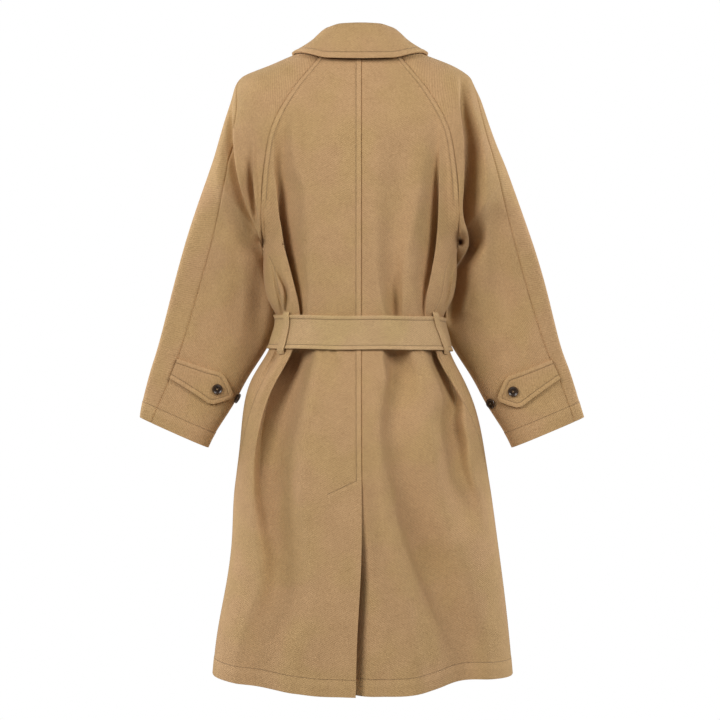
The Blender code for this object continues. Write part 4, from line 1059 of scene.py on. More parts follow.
@dataclass
class Cloth:
    """A grid of places on the outer face of a piece of cloth, with its stitch lines.

    The way out is level if none is given. The grain is the column that the weave runs along, the middle one
    if none is given. The stitch value is the distance from the nearest line of stitches, minus towards the
    edge.
    """

    name: str
    points: Array
    thick: float
    outward: Optional[Array] = None
    cells: Optional[Array] = None
    ring: bool = False
    bevel: float = 0.0007
    grain: Optional[int] = None
    rim_angle: float = 1.25
    merge: float = 1e-7
    stitch_jump: float = 0.012
    stitch_least: int = 4
    stitch_aside: float = 1e-9
    stitch: Array = field(init=False)
    normals: Array = field(init=False)

    def __post_init__(self) -> None:
        """Works out the normals, and starts without stitches."""
        if self.outward is None:
            self.outward = level_out(self.points)
        self.stitch = np.full(self.points.shape[:2], NO_STITCH)
        self.normals = grid_normals(self.points, self.outward, self.ring)

    def raise_by(self, height: Array) -> None:
        """Moves the cloth out along its normals, and works them out anew."""
        self.points = self.points + self.normals * height[..., None]
        self.normals = grid_normals(self.points, self.outward, self.ring)

    def sizes(self) -> tuple[float, float, float]:
        """The width, the length and the area of the cloth when it lies flat.

        Returns:
            The longest row, the longest column and the area of the cells in use.
        """
        over, down = np.diff(self.points, axis=1), np.diff(self.points, axis=0)
        areas = np.linalg.norm(np.cross(over[:-1], down[:, :-1]), axis=-1)
        keep = np.ones(areas.shape) if self.cells is None else self.cells
        wide = (np.linalg.norm(over, axis=-1)[:-1] * keep).sum(axis=1).max()
        long = np.linalg.norm(down, axis=-1).sum(axis=0).max()
        return float(wide), float(long), float((areas * keep).sum())

    def weave_map(self) -> Array:
        """Where each grid place lies in the flat cloth.

        Returns:
            Metres across and down the weave.
        """
        over = np.linalg.norm(np.diff(self.points, axis=1), axis=-1)
        down = np.linalg.norm(np.diff(self.points, axis=0), axis=-1)
        u = np.concatenate([np.zeros((len(over), 1)), np.cumsum(over, axis=1)], axis=1)
        line = down.shape[1] // 2 if self.grain is None else self.grain
        v = np.concatenate([[0.0], np.cumsum(down[:, line])])
        return np.stack([u - u[:, line:line + 1], np.broadcast_to(v[:, None], u.shape)], axis=-1)

    def wall(self) -> Mesh:
        """The cloth as a closed wall with rounded rims.

        Returns:
            The mesh, with its weave map and its stitch value.
        """
        rows, cols = self.points.shape[:2]
        bm = bmesh.new()
        bmesh.ops.create_grid(bm, x_segments=cols - 1, y_segments=rows - 1, size=1.0)
        line = bm.verts.layers.float.new("topstitch")
        weave = bm.loops.layers.uv.new("weave")
        places = self.points.reshape(-1, 3)
        lines = self.stitch.reshape(-1)
        lay = self.weave_map().reshape(-1, 2)
        bm.verts.index_update()
        for v in bm.verts:
            v.co = places[v.index]
            v[line] = lines[v.index]
        for f in bm.faces:
            for loop in f.loops:
                loop[weave].uv = lay[loop.vert.index]
        if self.cells is not None:
            spare = [f for f, kept in zip(bm.faces[:], self.cells.reshape(-1)) if not kept]
            bmesh.ops.delete(bm, geom=spare, context="FACES")
        if self.ring:
            bmesh.ops.remove_doubles(bm, verts=bm.verts[:], dist=self.merge)
        bm.normal_update()
        way = self.outward.reshape(-1, 3)
        if sum(v.normal.dot(Vector(way[v.index])) for v in bm.verts) < 0.0:
            bmesh.ops.reverse_faces(bm, faces=bm.faces[:])
        bmesh.ops.solidify(bm, geom=bm.faces[:], thickness=self.thick)
        bm.normal_update()
        rims = [e for e in bm.edges if len(e.link_faces) == 2 and e.calc_face_angle(0.0) > self.rim_angle]
        bmesh.ops.bevel(
            bm, geom=rims, offset=self.bevel, offset_type="OFFSET", segments=2, profile=0.5, affect="EDGES",
            clamp_overlap=True, material=-1,
        )
        return finished(bm, self.name)

    def stitch_lines(self) -> list[Array]:
        """The lines along which the stitch value is nought.

        Returns:
            Lines of places, each with its normal in its last three numbers.
        """
        f = np.where(self.stitch == 0.0, self.stitch_aside, self.stitch)
        full = np.concatenate([self.points, self.normals], axis=-1)
        rows, cols = f.shape
        cross_over = (f[:, :-1] * f[:, 1:] < 0.0) & (np.abs(f[:, :-1] - f[:, 1:]) < self.stitch_jump)
        cross_down = (f[:-1] * f[1:] < 0.0) & (np.abs(f[:-1] - f[1:]) < self.stitch_jump)
        joined: dict[tuple[int, int, int], list[tuple[int, int, int]]] = {}
        used = np.ones((rows - 1, cols - 1), bool) if self.cells is None else self.cells
        busy = cross_over[:-1] | cross_over[1:] | cross_down[:, :-1] | cross_down[:, 1:]
        for r, c in np.argwhere(busy & used):
            sides = [(0, r, c), (0, r + 1, c), (1, r, c), (1, r, c + 1)]
            met = [s for s in sides if (cross_down if s[0] else cross_over)[s[1], s[2]]]
            for a, b in zip(met[::2], met[1::2]):
                joined.setdefault(a, []).append(b)
                joined.setdefault(b, []).append(a)

        def place(key: tuple[int, int, int]) -> Array:
            """Where the line crosses one grid edge.

            Args:
                key: Whether the edge runs down, and its row and column.

            Returns:
                The place and its normal.
            """
            kind, r, c = key
            other = (r + 1, c) if kind else (r, c + 1)
            t = f[r, c] / (f[r, c] - f[other])
            return full[r, c] * (1.0 - t) + full[other] * t

        lines = []
        while joined:
            key = min(joined, key=lambda k: (len(joined[k]), k))
            chain = [key]
            while joined.get(key):
                after = joined[key].pop()
                joined[after].remove(key)
                if not joined[key]:
                    del joined[key]
                key = after
                chain.append(key)
            joined.pop(key, None)
            if len(chain) > self.stitch_least:
                lines.append(np.array([place(k) for k in chain]))
        return lines


class Nodes:
    """Adds and joins the nodes of one tree."""

    def __init__(self, tree: NodeTree) -> None:
        """Keeps the tree."""
        self.tree = tree

    def feed(self, node: Node, values: dict[str, object]) -> None:
        """Sets or joins a node's inputs.

        Args:
            node: The node.
            values: Values or sockets by the input's name or number.
        """
        for key, value in values.items():
            socket = node.inputs[int(key)] if key.isdigit() else node.inputs[key]
            if isinstance(value, NodeSocket):
                self.tree.links.new(value, socket)
            else:
                socket.default_value = value

    def add(self, kind: str, **values: object) -> Node:
        """Adds a node.

        Args:
            kind: The node's type name, without its prefix.
            values: Settings of the node; a name that starts with in_ sets or joins that input.

        Returns:
            The node.
        """
        node = self.tree.nodes.new("ShaderNode" + kind)
        for name, value in values.items():
            if not name.startswith("in_"):
                setattr(node, name, value)
        self.feed(node, {name[3:]: value for name, value in values.items() if name.startswith("in_")})
        return node

    def sum(self, operation: str, a: object, b: object = 0.0, c: object = 0.0) -> NodeSocket:
        """The output of a Math node on up to three numbers or sockets."""
        return self.add("Math", operation=operation, in_0=a, in_1=b, in_2=c).outputs[0]

    def noise(self, place: NodeSocket, scale: float, detail: float, **more: float) -> NodeSocket:
        """The output of a Noise Texture node; more sets its other inputs."""
        return self.add("TexNoise", in_Vector=place, in_Scale=scale, in_Detail=detail, **more).outputs["Fac"]

    def step(
        self, value: NodeSocket, low: float, high: float, start: float = 0.0, end: float = 1.0,
    ) -> NodeSocket:
        """A smooth step from start to end while a value goes from low to high."""
        ends = {"in_1": low, "in_2": high, "in_3": start, "in_4": end}
        return self.add("MapRange", interpolation_type="SMOOTHSTEP", in_0=value, **ends).outputs[0]

    def mix(self, share: object, first: object, second: object, blend: str = "MIX") -> NodeSocket:
        """The output of a Mix node.

        Args:
            share: How much of the second colour there is.
            first: A colour or a socket.
            second: Likewise.
            blend: The node's way of mixing.

        Returns:
            The socket of the mixed colour.
        """
        first, second = (c if isinstance(c, NodeSocket) else (*c, 1.0) for c in (first, second))
        return self.add(
            "Mix", data_type="RGBA", clamp_factor=True, blend_type=blend, in_0=share, in_6=first, in_7=second,
        ).outputs[2]


def new_finish(name: str) -> tuple[Material, Nodes, Node, NodeSocket]:
    """A new material.

    Args:
        name: Its name.

    Returns:
        The material, the maker of its nodes, its shader and the Object coordinates.
    """
    m = bpy.data.materials.new(name)
    m.use_nodes = True
    n = Nodes(m.node_tree)
    return m, n, m.node_tree.nodes["Principled BSDF"], n.add("TexCoord").outputs["Object"]


def node_group(
    name: str, inputs: dict[str, str], outputs: dict[str, str],
) -> tuple[NodeTree, Nodes, Node, Node]:
    """A new shader node group with its sockets.

    Args:
        name: The group's name.
        inputs: Socket types by name.
        outputs: Socket types by name.

    Returns:
        The group, the maker of its nodes, its input node and its output node.
    """
    group = bpy.data.node_groups.new(name, "ShaderNodeTree")
    for label, kind in inputs.items():
        group.interface.new_socket(name=label, in_out="INPUT", socket_type="NodeSocket" + kind)
    for label, kind in outputs.items():
        group.interface.new_socket(name=label, in_out="OUTPUT", socket_type="NodeSocket" + kind)
    return group, Nodes(group), group.nodes.new("NodeGroupInput"), group.nodes.new("NodeGroupOutput")


@dataclass(frozen=True)
class TwillWeave:
    """The diagonal wales of the wool, from the weave map in metres."""

    wale: float = 0.0030
    wale_height: float = 0.34
    yarn: float = 0.0014
    yarn_height: float = 0.16
    slant: float = math.radians(58.0)
    wander: float = 6.5
    wander_scale: float = 260.0

    def group(self) -> NodeTree:
        """Makes the node group.

        Returns:
            The group, which gives the weave's height from 0 to 1.
        """
        group, n, source, sink = node_group("twill_weave", {"Weave": "Vector"}, {"Height": "Float"})
        lay = source.outputs[0]
        turned = n.add("VectorRotate", rotation_type="Z_AXIS", in_Vector=lay, in_Angle=self.slant)
        parts = n.add("SeparateXYZ", in_0=turned.outputs[0])
        shift = n.sum("MULTIPLY", n.noise(lay, self.wander_scale, 2.0, in_Roughness=0.6), self.wander)
        wale = n.sum("SINE", n.sum("MULTIPLY_ADD", parts.outputs[0], 2.0 * math.pi / self.wale, shift))
        yarn = n.sum("SINE", n.sum("MULTIPLY_ADD", parts.outputs[1], 2.0 * math.pi / self.yarn, shift))
        yarn = n.sum("MULTIPLY_ADD", yarn, self.yarn_height, 0.5)
        n.feed(sink, {"Height": n.sum("MULTIPLY_ADD", wale, self.wale_height, yarn)})
        return group


@dataclass(frozen=True)
class BrushedNap:
    """The short brushed hair of the wool: clumps of fibre and broad mottling."""

    clump: float = 330.0
    clump_share: float = 0.78
    fibre: float = 1900.0
    fibre_share: float = 0.22
    mottle: float = 34.0

    def group(self) -> NodeTree:
        """Makes the node group.

        Returns:
            The group, which gives the nap's height and the broad mottling, each from 0 to 1.
        """
        outputs = {"Height": "Float", "Mottle": "Float"}
        group, n, source, sink = node_group("brushed_nap", {"Place": "Vector"}, outputs)
        place = source.outputs[0]
        clump = n.noise(place, self.clump, 3.0, in_Roughness=0.65)
        fibre = n.noise(place, self.fibre, 2.0, in_Roughness=0.7)
        hair = n.sum("MULTIPLY_ADD", clump, self.clump_share, n.sum("MULTIPLY", fibre, self.fibre_share))
        n.feed(sink, {"Height": hair, "Mottle": n.noise(place, self.mottle, 4.0, in_Roughness=0.6)})
        return group


@dataclass(frozen=True)
class WoolFinish:
    """Heavy camel wool twill with a brushed face and pressed-in stitch lines, with painted shade along the
    stitch lines and a painted highlight on the band beside them.
    """

    name: str = "camel_wool"
    dark: tuple[float, float, float] = (0.336, 0.191, 0.084)
    light: tuple[float, float, float] = (0.640, 0.402, 0.205)
    faded: tuple[float, float, float] = (0.96, 1.0, 0.90)
    twill: float = 0.24
    nap: float = 0.76
    grain: float = 1.60
    grain_base: float = -0.425
    mottle: float = 0.35
    groove: float = 0.0010
    groove_tone: float = -0.17
    groove_depth: float = -0.6
    welt: tuple[float, float] = (-0.0006, -0.0030)
    welt_end: tuple[float, float] = (-0.0130, -0.0085)
    welt_tone: float = 0.10
    patch: float = 15.0
    patch_range: tuple[float, float] = (0.36, 0.66)
    patch_most: float = 0.8
    patch_rough: float = 0.4
    bump: float = 0.85
    bump_depth: float = 0.0016
    rough: tuple[float, float] = (0.16, 0.80)
    gloss: float = 0.22
    sheen: float = 0.12
    sheen_rough: float = 0.45
    sheen_tint: tuple[float, float, float] = (1.0, 0.86, 0.68)

    def material(self, weave: NodeTree, nap: NodeTree) -> Material:
        """Makes the material.

        Args:
            weave: The weave's node group.
            nap: The nap's node group.

        Returns:
            The material.
        """
        m, n, shader, place = new_finish(self.name)
        lay = n.add("UVMap", uv_map="weave").outputs["UV"]
        twill = n.add("Group", node_tree=weave, in_Weave=lay).outputs["Height"]
        hair = n.add("Group", node_tree=nap, in_Place=place)
        line = n.add("Attribute", attribute_name="topstitch").outputs["Fac"]
        # near is one on a stitch line and nought a groove's width away: it presses a real groove into the
        # bump and also darkens the colour there as painted shade
        near = n.step(n.sum("ABSOLUTE", line), 0.0, self.groove, 1.0, 0.0)
        # painted highlight: a band on the edge side of each stitch line is lightened, standing for the light
        # that a raised welt catches
        welt = n.sum("MULTIPLY", n.step(line, *self.welt), n.step(line, *self.welt_end))
        grain = n.sum("MULTIPLY_ADD", twill, self.twill, n.sum("MULTIPLY", hair.outputs["Height"], self.nap))
        tone = n.sum("MULTIPLY_ADD", grain, self.grain, self.grain_base)
        tone = n.sum("MULTIPLY_ADD", hair.outputs["Mottle"], self.mottle, tone)
        # painted highlight on the welt band
        tone = n.sum("MULTIPLY_ADD", welt, self.welt_tone, tone)
        # painted shade: darker colour along the stitch lines, standing for the shade in their grooves
        tone = n.sum("MULTIPLY_ADD", near, self.groove_tone, tone)
        patch = n.noise(place, self.patch, 1.0, in_Roughness=self.patch_rough)
        patch = n.step(patch, *self.patch_range, 0.0, self.patch_most)
        height = n.sum("MULTIPLY_ADD", near, self.groove_depth, grain)
        bump = n.add("Bump", in_Strength=self.bump, in_Distance=self.bump_depth, in_Height=height)
        n.feed(shader, {
            "Base Color": n.mix(patch, n.mix(tone, self.dark, self.light), self.faded, "MULTIPLY"),
            "Roughness": n.sum("MULTIPLY_ADD", hair.outputs["Height"], *self.rough),
            "Normal": bump.outputs[0],
            "Specular IOR Level": self.gloss,
            "Sheen Weight": self.sheen,
            "Sheen Roughness": self.sheen_rough,
            "Sheen Tint": (*self.sheen_tint, 1.0),
        })
        return m


@dataclass(frozen=True)
class ThreadFinish:
    """Twisted sewing thread, a shade darker than the wool."""

    name: str = "camel_thread"
    colour: tuple[float, float, float] = (0.360, 0.222, 0.108)
    shades: tuple[float, float] = (0.72, 1.25)
    twist: float = 2600.0
    bump: float = 0.4
    bump_depth: float = 0.0002
    rough: float = 0.62
    sheen: float = 0.2

    def material(self) -> Material:
        """Makes the material.

        Returns:
            The material.
        """
        m, n, shader, place = new_finish(self.name)
        strand = n.noise(place, self.twist, 2.0)
        dark, light = ([shade * c for c in self.colour] for shade in self.shades)
        bump = n.add("Bump", in_Strength=self.bump, in_Distance=self.bump_depth, in_Height=strand)
        n.feed(shader, {
            "Base Color": n.mix(strand, dark, light),
            "Normal": bump.outputs[0],
            "Roughness": self.rough,
            "Sheen Weight": self.sheen,
        })
        return m


@dataclass(frozen=True)
class HornFinish:
    """Polished dark brown horn with lighter streaks and a paler rim."""

    name: str = "dark_horn"
    dark: tuple[float, float, float] = (0.016, 0.009, 0.006)
    light: tuple[float, float, float] = (0.120, 0.066, 0.034)
    streaks: tuple[float, float, float] = (90.0, 320.0, 150.0)
    streak_gain: float = 0.9
    distortion: float = 0.8
    rim_gain: float = 0.35
    base: float = -0.30
    rough: tuple[float, float] = (0.18, 0.20)
    polish: float = 0.35
    polish_rough: float = 0.12

    def material(self) -> Material:
        """Makes the material.

        Returns:
            The material.
        """
        m, n, shader, place = new_finish(self.name)
        long = n.add("Mapping", in_Vector=place, in_Scale=self.streaks).outputs[0]
        streak = n.noise(long, 1.0, 5.0, in_Distortion=self.distortion)
        rim = n.add("Attribute", attribute_name="rim").outputs["Fac"]
        share = n.sum("MULTIPLY_ADD", rim, self.rim_gain, self.base)
        share = n.sum("MULTIPLY_ADD", streak, self.streak_gain, share)
        n.feed(shader, {
            "Base Color": n.mix(share, self.dark, self.light),
            "Roughness": n.sum("MULTIPLY_ADD", streak, *self.rough),
            "Coat Weight": self.polish,
            "Coat Roughness": self.polish_rough,
        })
        return m


@dataclass(frozen=True)
class FloorFinish:
    """Pale matt paint."""

    name: str = "pale_floor"
    colour: tuple[float, float, float] = (0.70, 0.70, 0.69)
    speckle: float = 40.0
    rough: tuple[float, float] = (0.1, 0.75)

    def material(self) -> Material:
        """Makes the material.

        Returns:
            The material.
        """
        m, n, shader, place = new_finish(self.name)
        rough = n.sum("MULTIPLY_ADD", n.noise(place, self.speckle, 4.0), *self.rough)
        n.feed(shader, {"Base Color": (*self.colour, 1.0), "Roughness": rough})
        return m


@dataclass
class Workroom:
    wool: Material
    # the belt's wool: a copy of the coat's wool painted lighter, as painted light
    belting: Material
    thread: Material
    horn: Material
    pitch: float = 0.0036
    lay: float = 0.3
    stand: float = 0.00006
    stitch_half: tuple[float, float, float] = (0.00125, 0.00034, 0.00030)

    def piece(self, name: str, mesh: Mesh, finish: Material) -> Object:
        """Adds an object that rides on the coat.

        Args:
            name: The piece's name.
            mesh: Its mesh, in place.
            finish: Its material.

        Returns:
            The object.
        """
        mesh.materials.append(finish)
        made = linked(name, mesh)
        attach(made, "root")
        mesh.calc_loop_triangles()
        log.info("%s: %d triangles", name, len(mesh.loop_triangles))
        return made

    def cut(
        self, cloth: Cloth, node: str, finish: Optional[Material] = None,
    ) -> None:
        """Makes a piece of cloth with its stitches, in place of its node.

        Args:
            cloth: The cloth.
            node: The node that it stands for.
            finish: Its material, the coat's wool if none is given.
        """
        made = self.piece(cloth.name, cloth.wall(), finish or self.wool)
        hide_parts(node)
        lines = cloth.stitch_lines()
        if lines:
            self.piece(cloth.name + "_stitches", self.stitches(lines), self.thread)
        wide, long, area = cloth.sizes()

    def stitches(self, lines: Sequence[Array]) -> Mesh:
        """Stitches along lines, as one mesh.

        Args:
            lines: Lines of places with their normals.

        Returns:
            The mesh.
        """
        spots = [self.spots(line) for line in lines]
        frames = np.concatenate([s for s in spots if len(s)])
        bm = bmesh.new()
        bmesh.ops.create_uvsphere(bm, u_segments=6, v_segments=4, radius=1.0)
        bmesh.ops.rotate(bm, verts=bm.verts[:], cent=(0, 0, 0), matrix=Matrix.Rotation(math.pi / 2, 3, "Y"))
        bmesh.ops.scale(bm, verts=bm.verts[:], vec=self.stitch_half)
        return tiled(finished(bm, "stitch_shape"), frames, "stitches")

    def spots(self, line: Array) -> Array:
        """Places of the stitches on one line.

        Args:
            line: Places with their normals.

        Returns:
            A 3 by 4 frame for each stitch: its way along, its way across, its way out and its middle.
        """
        p, normal = line[:, :3], line[:, 3:]
        length = lengths_along(p)
        at = np.arange(self.pitch * 0.5, length[-1], self.pitch)
        if not len(at):
            return np.zeros((0, 3, 4))
        aside = self.pitch * self.lay
        along = unit(walked(p, length, at + aside) - walked(p, length, at - aside))
        out = walked(normal, length, at)
        out = unit(out - along * np.sum(out * along, axis=1, keepdims=True))
        middle = walked(p, length, at) + out * self.stand
        return np.stack([along, np.cross(out, along), out, middle], axis=-1)


def tiled(shape: Mesh, frames: Array, name: str) -> Mesh:
    """One mesh of many copies of a small shape.

    Args:
        shape: The shape, which is removed.
        frames: A 3 by 4 frame for each copy.
        name: The mesh's name.

    Returns:
        The mesh.
    """
    count, corners = len(frames), len(shape.vertices)
    co = np.empty(corners * 3)
    shape.vertices.foreach_get("co", co)
    co = co.reshape(-1, 3)
    places = np.einsum("nij,kj->nki", frames[:, :, :3], co) + frames[:, None, :, 3]
    loops = np.empty(len(shape.loops), int)
    shape.loops.foreach_get("vertex_index", loops)
    starts = np.empty(len(shape.polygons), int)
    shape.polygons.foreach_get("loop_start", starts)
    mesh = bpy.data.meshes.new(name)
    mesh.vertices.add(count * corners)
    mesh.loops.add(count * len(loops))
    mesh.polygons.add(count * len(starts))
    step = np.arange(count)[:, None]
    mesh.vertices.foreach_set("co", places.reshape(-1).astype(np.float32))
    mesh.loops.foreach_set("vertex_index", (loops[None] + step * corners).reshape(-1).astype(np.int32))
    mesh.polygons.foreach_set("loop_start", (starts[None] + step * len(loops)).reshape(-1).astype(np.int32))
    mesh.update(calc_edges=True)
    mesh.polygons.foreach_set("use_smooth", np.ones(count * len(starts), bool))
    bpy.data.meshes.remove(shape)
    return mesh


def dense_ends(count: int, pull: float = 0.6) -> Array:
    """Shares from 0 to 1 that lie closer together at both ends."""
    t = np.linspace(0.0, 1.0, count + 1)
    return t - pull * np.sin(2.0 * np.pi * t) / (2.0 * np.pi)


RAGLAN_WELT = Welt(width=0.0096, height=0.0015, stitch=0.0084, roll=0.0013)
CENTRE_WELT = Welt(width=0.0096, height=0.0015, stitch=0.0084)
SIDE_WELT = Welt(width=0.0060, height=0.0009, stitch=0.0050, roll=0.0010)
MEETING_EDGE = Welt(width=0.0, height=0.0, stitch=0.0, roll=0.0008)
OVER_ARM_EDGE = Welt(width=0.0, height=0.0, stitch=0.0, roll=0.0021)
HEM_TURN = Welt(width=0.0290, height=0.0006, stitch=0.0280)


@dataclass
class BackPanels:
    """The two back panels: a lapped seam down the middle, and a vent below it.

    At the vent the left panel lies over the right one, is lifted a little near the middle, and the right one
    sinks below it.
    """

    body: BodyForm
    rows: Rows
    columns: int = 128
    fine: int = 601
    pull: float = 0.6
    raglan_lead: float = 0.01
    raglan_fade: float = 0.03
    side_start: float = 0.340
    side_fade: float = 0.02
    side_stitch: float = 0.352
    vent_drop: float = 0.729
    seam_lead: float = 0.02
    seam_fade: float = 0.04
    underlap: float = 0.050
    underlap_columns: int = 16
    underlap_start: float = 0.002
    lift: float = 0.008
    lift_length: float = 0.25
    lift_width: float = 0.06
    sunk_lead: float = 0.01
    sunk_fade: float = 0.03
    sink: float = 0.0105
    sink_start: float = 0.04
    sink_length: float = 0.16
    slope: float = 0.030
    slope_start: float = 0.032
    slope_most: float = 1.15
    slant_reach: float = 0.007
    slant: tuple[tuple[float, float], tuple[float, float]] = ((0.0046, -0.7296), (0.0559, -0.7535))
    centre: Curve = field(default_factory=lambda: Curve(
        (-0.002, 0.300, 0.729, 0.885, 0.978, 1.080), (-0.0017, -0.0017, -0.0025, -0.0012, 0.0041, 0.0069)))

    def edge_angle(self, drop: Array, over: float = 0.0) -> Array:
        """The angle of the middle edge, or of a line a little past it, at each drop."""
        x = self.centre(drop) + over - self.body.levels["lean"](drop)
        return np.arcsin(x / self.body.levels["half_width"](drop))

    def grid(self, side: Side) -> tuple[Array, Array]:
        """A panel's rows, from the middle edge to the seam.

        Args:
            side: Which panel.

        Returns:
            The angles and the drops.
        """
        s, skirt = self.rows.seam(), self.rows.skirt()
        drop = np.concatenate([self.body.raglan["drop_back"](s), skirt])
        seam = np.concatenate([self.body.raglan["angle_back"](s), self.body.side(skirt)])
        seam = np.radians(seam) * side.value
        first = self.edge_angle(drop)
        many = first[:, None] + (seam - first)[:, None] * np.linspace(0.0, 1.0, self.fine)[None, :]
        places = self.body.smooth(many, drop[:, None])
        angle = crowded(many, places[..., 0], -places[..., 2], BACK_FOLDS, self.columns, self.pull)
        return angle, np.repeat(drop[:, None], angle.shape[1], axis=1)

    def sewn(self, cloth: Cloth, drop: Array, first: int, lapped: bool) -> None:
        """Adds the welts and the stitch lines.

        Args:
            cloth: The panel.
            drop: The drop of its places.
            first: The column of the middle edge.
            lapped: Whether the middle seam's welt is on this panel.
        """
        upper = len(self.rows.seam())
        raglan = distance_to(cloth.points, cloth.points[:upper + 1, -1])
        side = distance_to(cloth.points, cloth.points[upper:, -1])
        hem = drop[-1:, :] - drop
        upper_share = 1.0 - ease((drop - RAGLAN_END + self.raglan_lead) / self.raglan_fade)
        lower_share = ease((drop - self.side_start) / self.side_fade)
        height = RAGLAN_WELT.raised(raglan) * upper_share
        height = height + SIDE_WELT.raised(side) * lower_share + HEM_TURN.raised(hem)
        stitch = np.where(drop < RAGLAN_END, RAGLAN_WELT.line(raglan), NO_STITCH)
        stitch = np.minimum(stitch, np.where(drop > self.side_stitch, SIDE_WELT.line(side), NO_STITCH))
        stitch = np.minimum(stitch, HEM_TURN.line(hem))
        middle = distance_to(cloth.points, cloth.points[:, first])
        closed = 1.0 - ease((drop - self.vent_drop + self.seam_lead) / self.seam_fade)
        height = height + (CENTRE_WELT if lapped else MEETING_EDGE).raised(middle) * closed
        if lapped:
            stitch = np.minimum(stitch, np.where(drop < self.vent_drop, CENTRE_WELT.line(middle), NO_STITCH))
        cloth.stitch = stitch
        cloth.raise_by(height)

    def left(self) -> Cloth:
        """The left panel.

        Returns:
            The cloth.
        """
        angle, drop = self.grid(Side.LEFT)
        below = ease((drop - self.vent_drop) / self.lift_length)
        drop = self.body.to_hem(angle, drop)
        near = ease(1.0 - self.body.smooth(angle, drop)[..., 0] / self.lift_width)
        points = self.body.place(angle, drop, self.lift * below * near)
        cloth = Cloth("back_panel_left", points, WOOL_THICK, grain=0)
        self.sewn(cloth, drop, 0, True)
        return cloth

    def right(self) -> Cloth:
        """The right panel, with the under-lap of the vent.

        Returns:
            The cloth.
        """
        angle, drop = self.grid(Side.RIGHT)
        laps = np.linspace(self.underlap, 0.0, self.underlap_columns, endpoint=False)
        extra = np.stack([self.edge_angle(drop[:, 0], lap) for lap in laps], axis=1)
        angle = np.concatenate([extra, angle], axis=1)
        drop = np.concatenate([np.repeat(drop[:, :1], len(laps), axis=1), drop], axis=1)
        cells = np.ones((drop.shape[0] - 1, drop.shape[1] - 1), bool)
        cells[:, :len(laps)] = drop[:-1, :len(laps)] > self.vent_drop + self.underlap_start
        sunk = ease((drop - self.vent_drop + self.sunk_lead) / self.sunk_fade)
        drop = self.body.to_hem(angle, drop)
        x = self.body.smooth(angle, drop)[..., 0] - self.centre(drop)
        deeper = ease((drop - self.vent_drop - self.sink_start) / self.sink_length)
        low = WOOL_THICK + LAY_GAP + self.sink * deeper
        under = np.clip((x + self.slope_start) / self.slope, 0.0, self.slope_most) ** 2
        points = self.body.place(angle, drop, -low * under * sunk)
        cloth = Cloth("back_panel_right", points, WOOL_THICK, cells=cells, grain=len(laps))
        self.sewn(cloth, drop, len(laps), False)
        return cloth

    def vent_stitch(self, points: Array) -> Array:
        """The slanted line of stitches that holds the top of the vent.

        Args:
            points: The left panel's places.

        Returns:
            The distance from the line, minus below it.
        """
        (x0, z0), (x1, z1) = self.slant
        length = math.hypot(x1 - x0, z1 - z0)
        way = np.array([x1 - x0, z1 - z0]) / length
        dx, dz = points[..., 0] - x0, points[..., 2] - z0
        along = dx * way[0] + dz * way[1]
        beside = dz * way[0] - dx * way[1]
        near = (along > 0.0) & (along < length) & (np.abs(beside) < self.slant_reach)
        return np.where(near & (points[..., 1] > 0.0), beside, NO_STITCH)

    def build(self, room: Workroom) -> None:
        """Makes both panels.

        Args:
            room: Where they are made.
        """
        left = self.left()
        slant = self.vent_stitch(left.points)
        left.stitch = np.where(np.abs(slant) < np.abs(left.stitch), slant, left.stitch)
        room.cut(left, "back_left")
        room.cut(self.right(), "back_right")


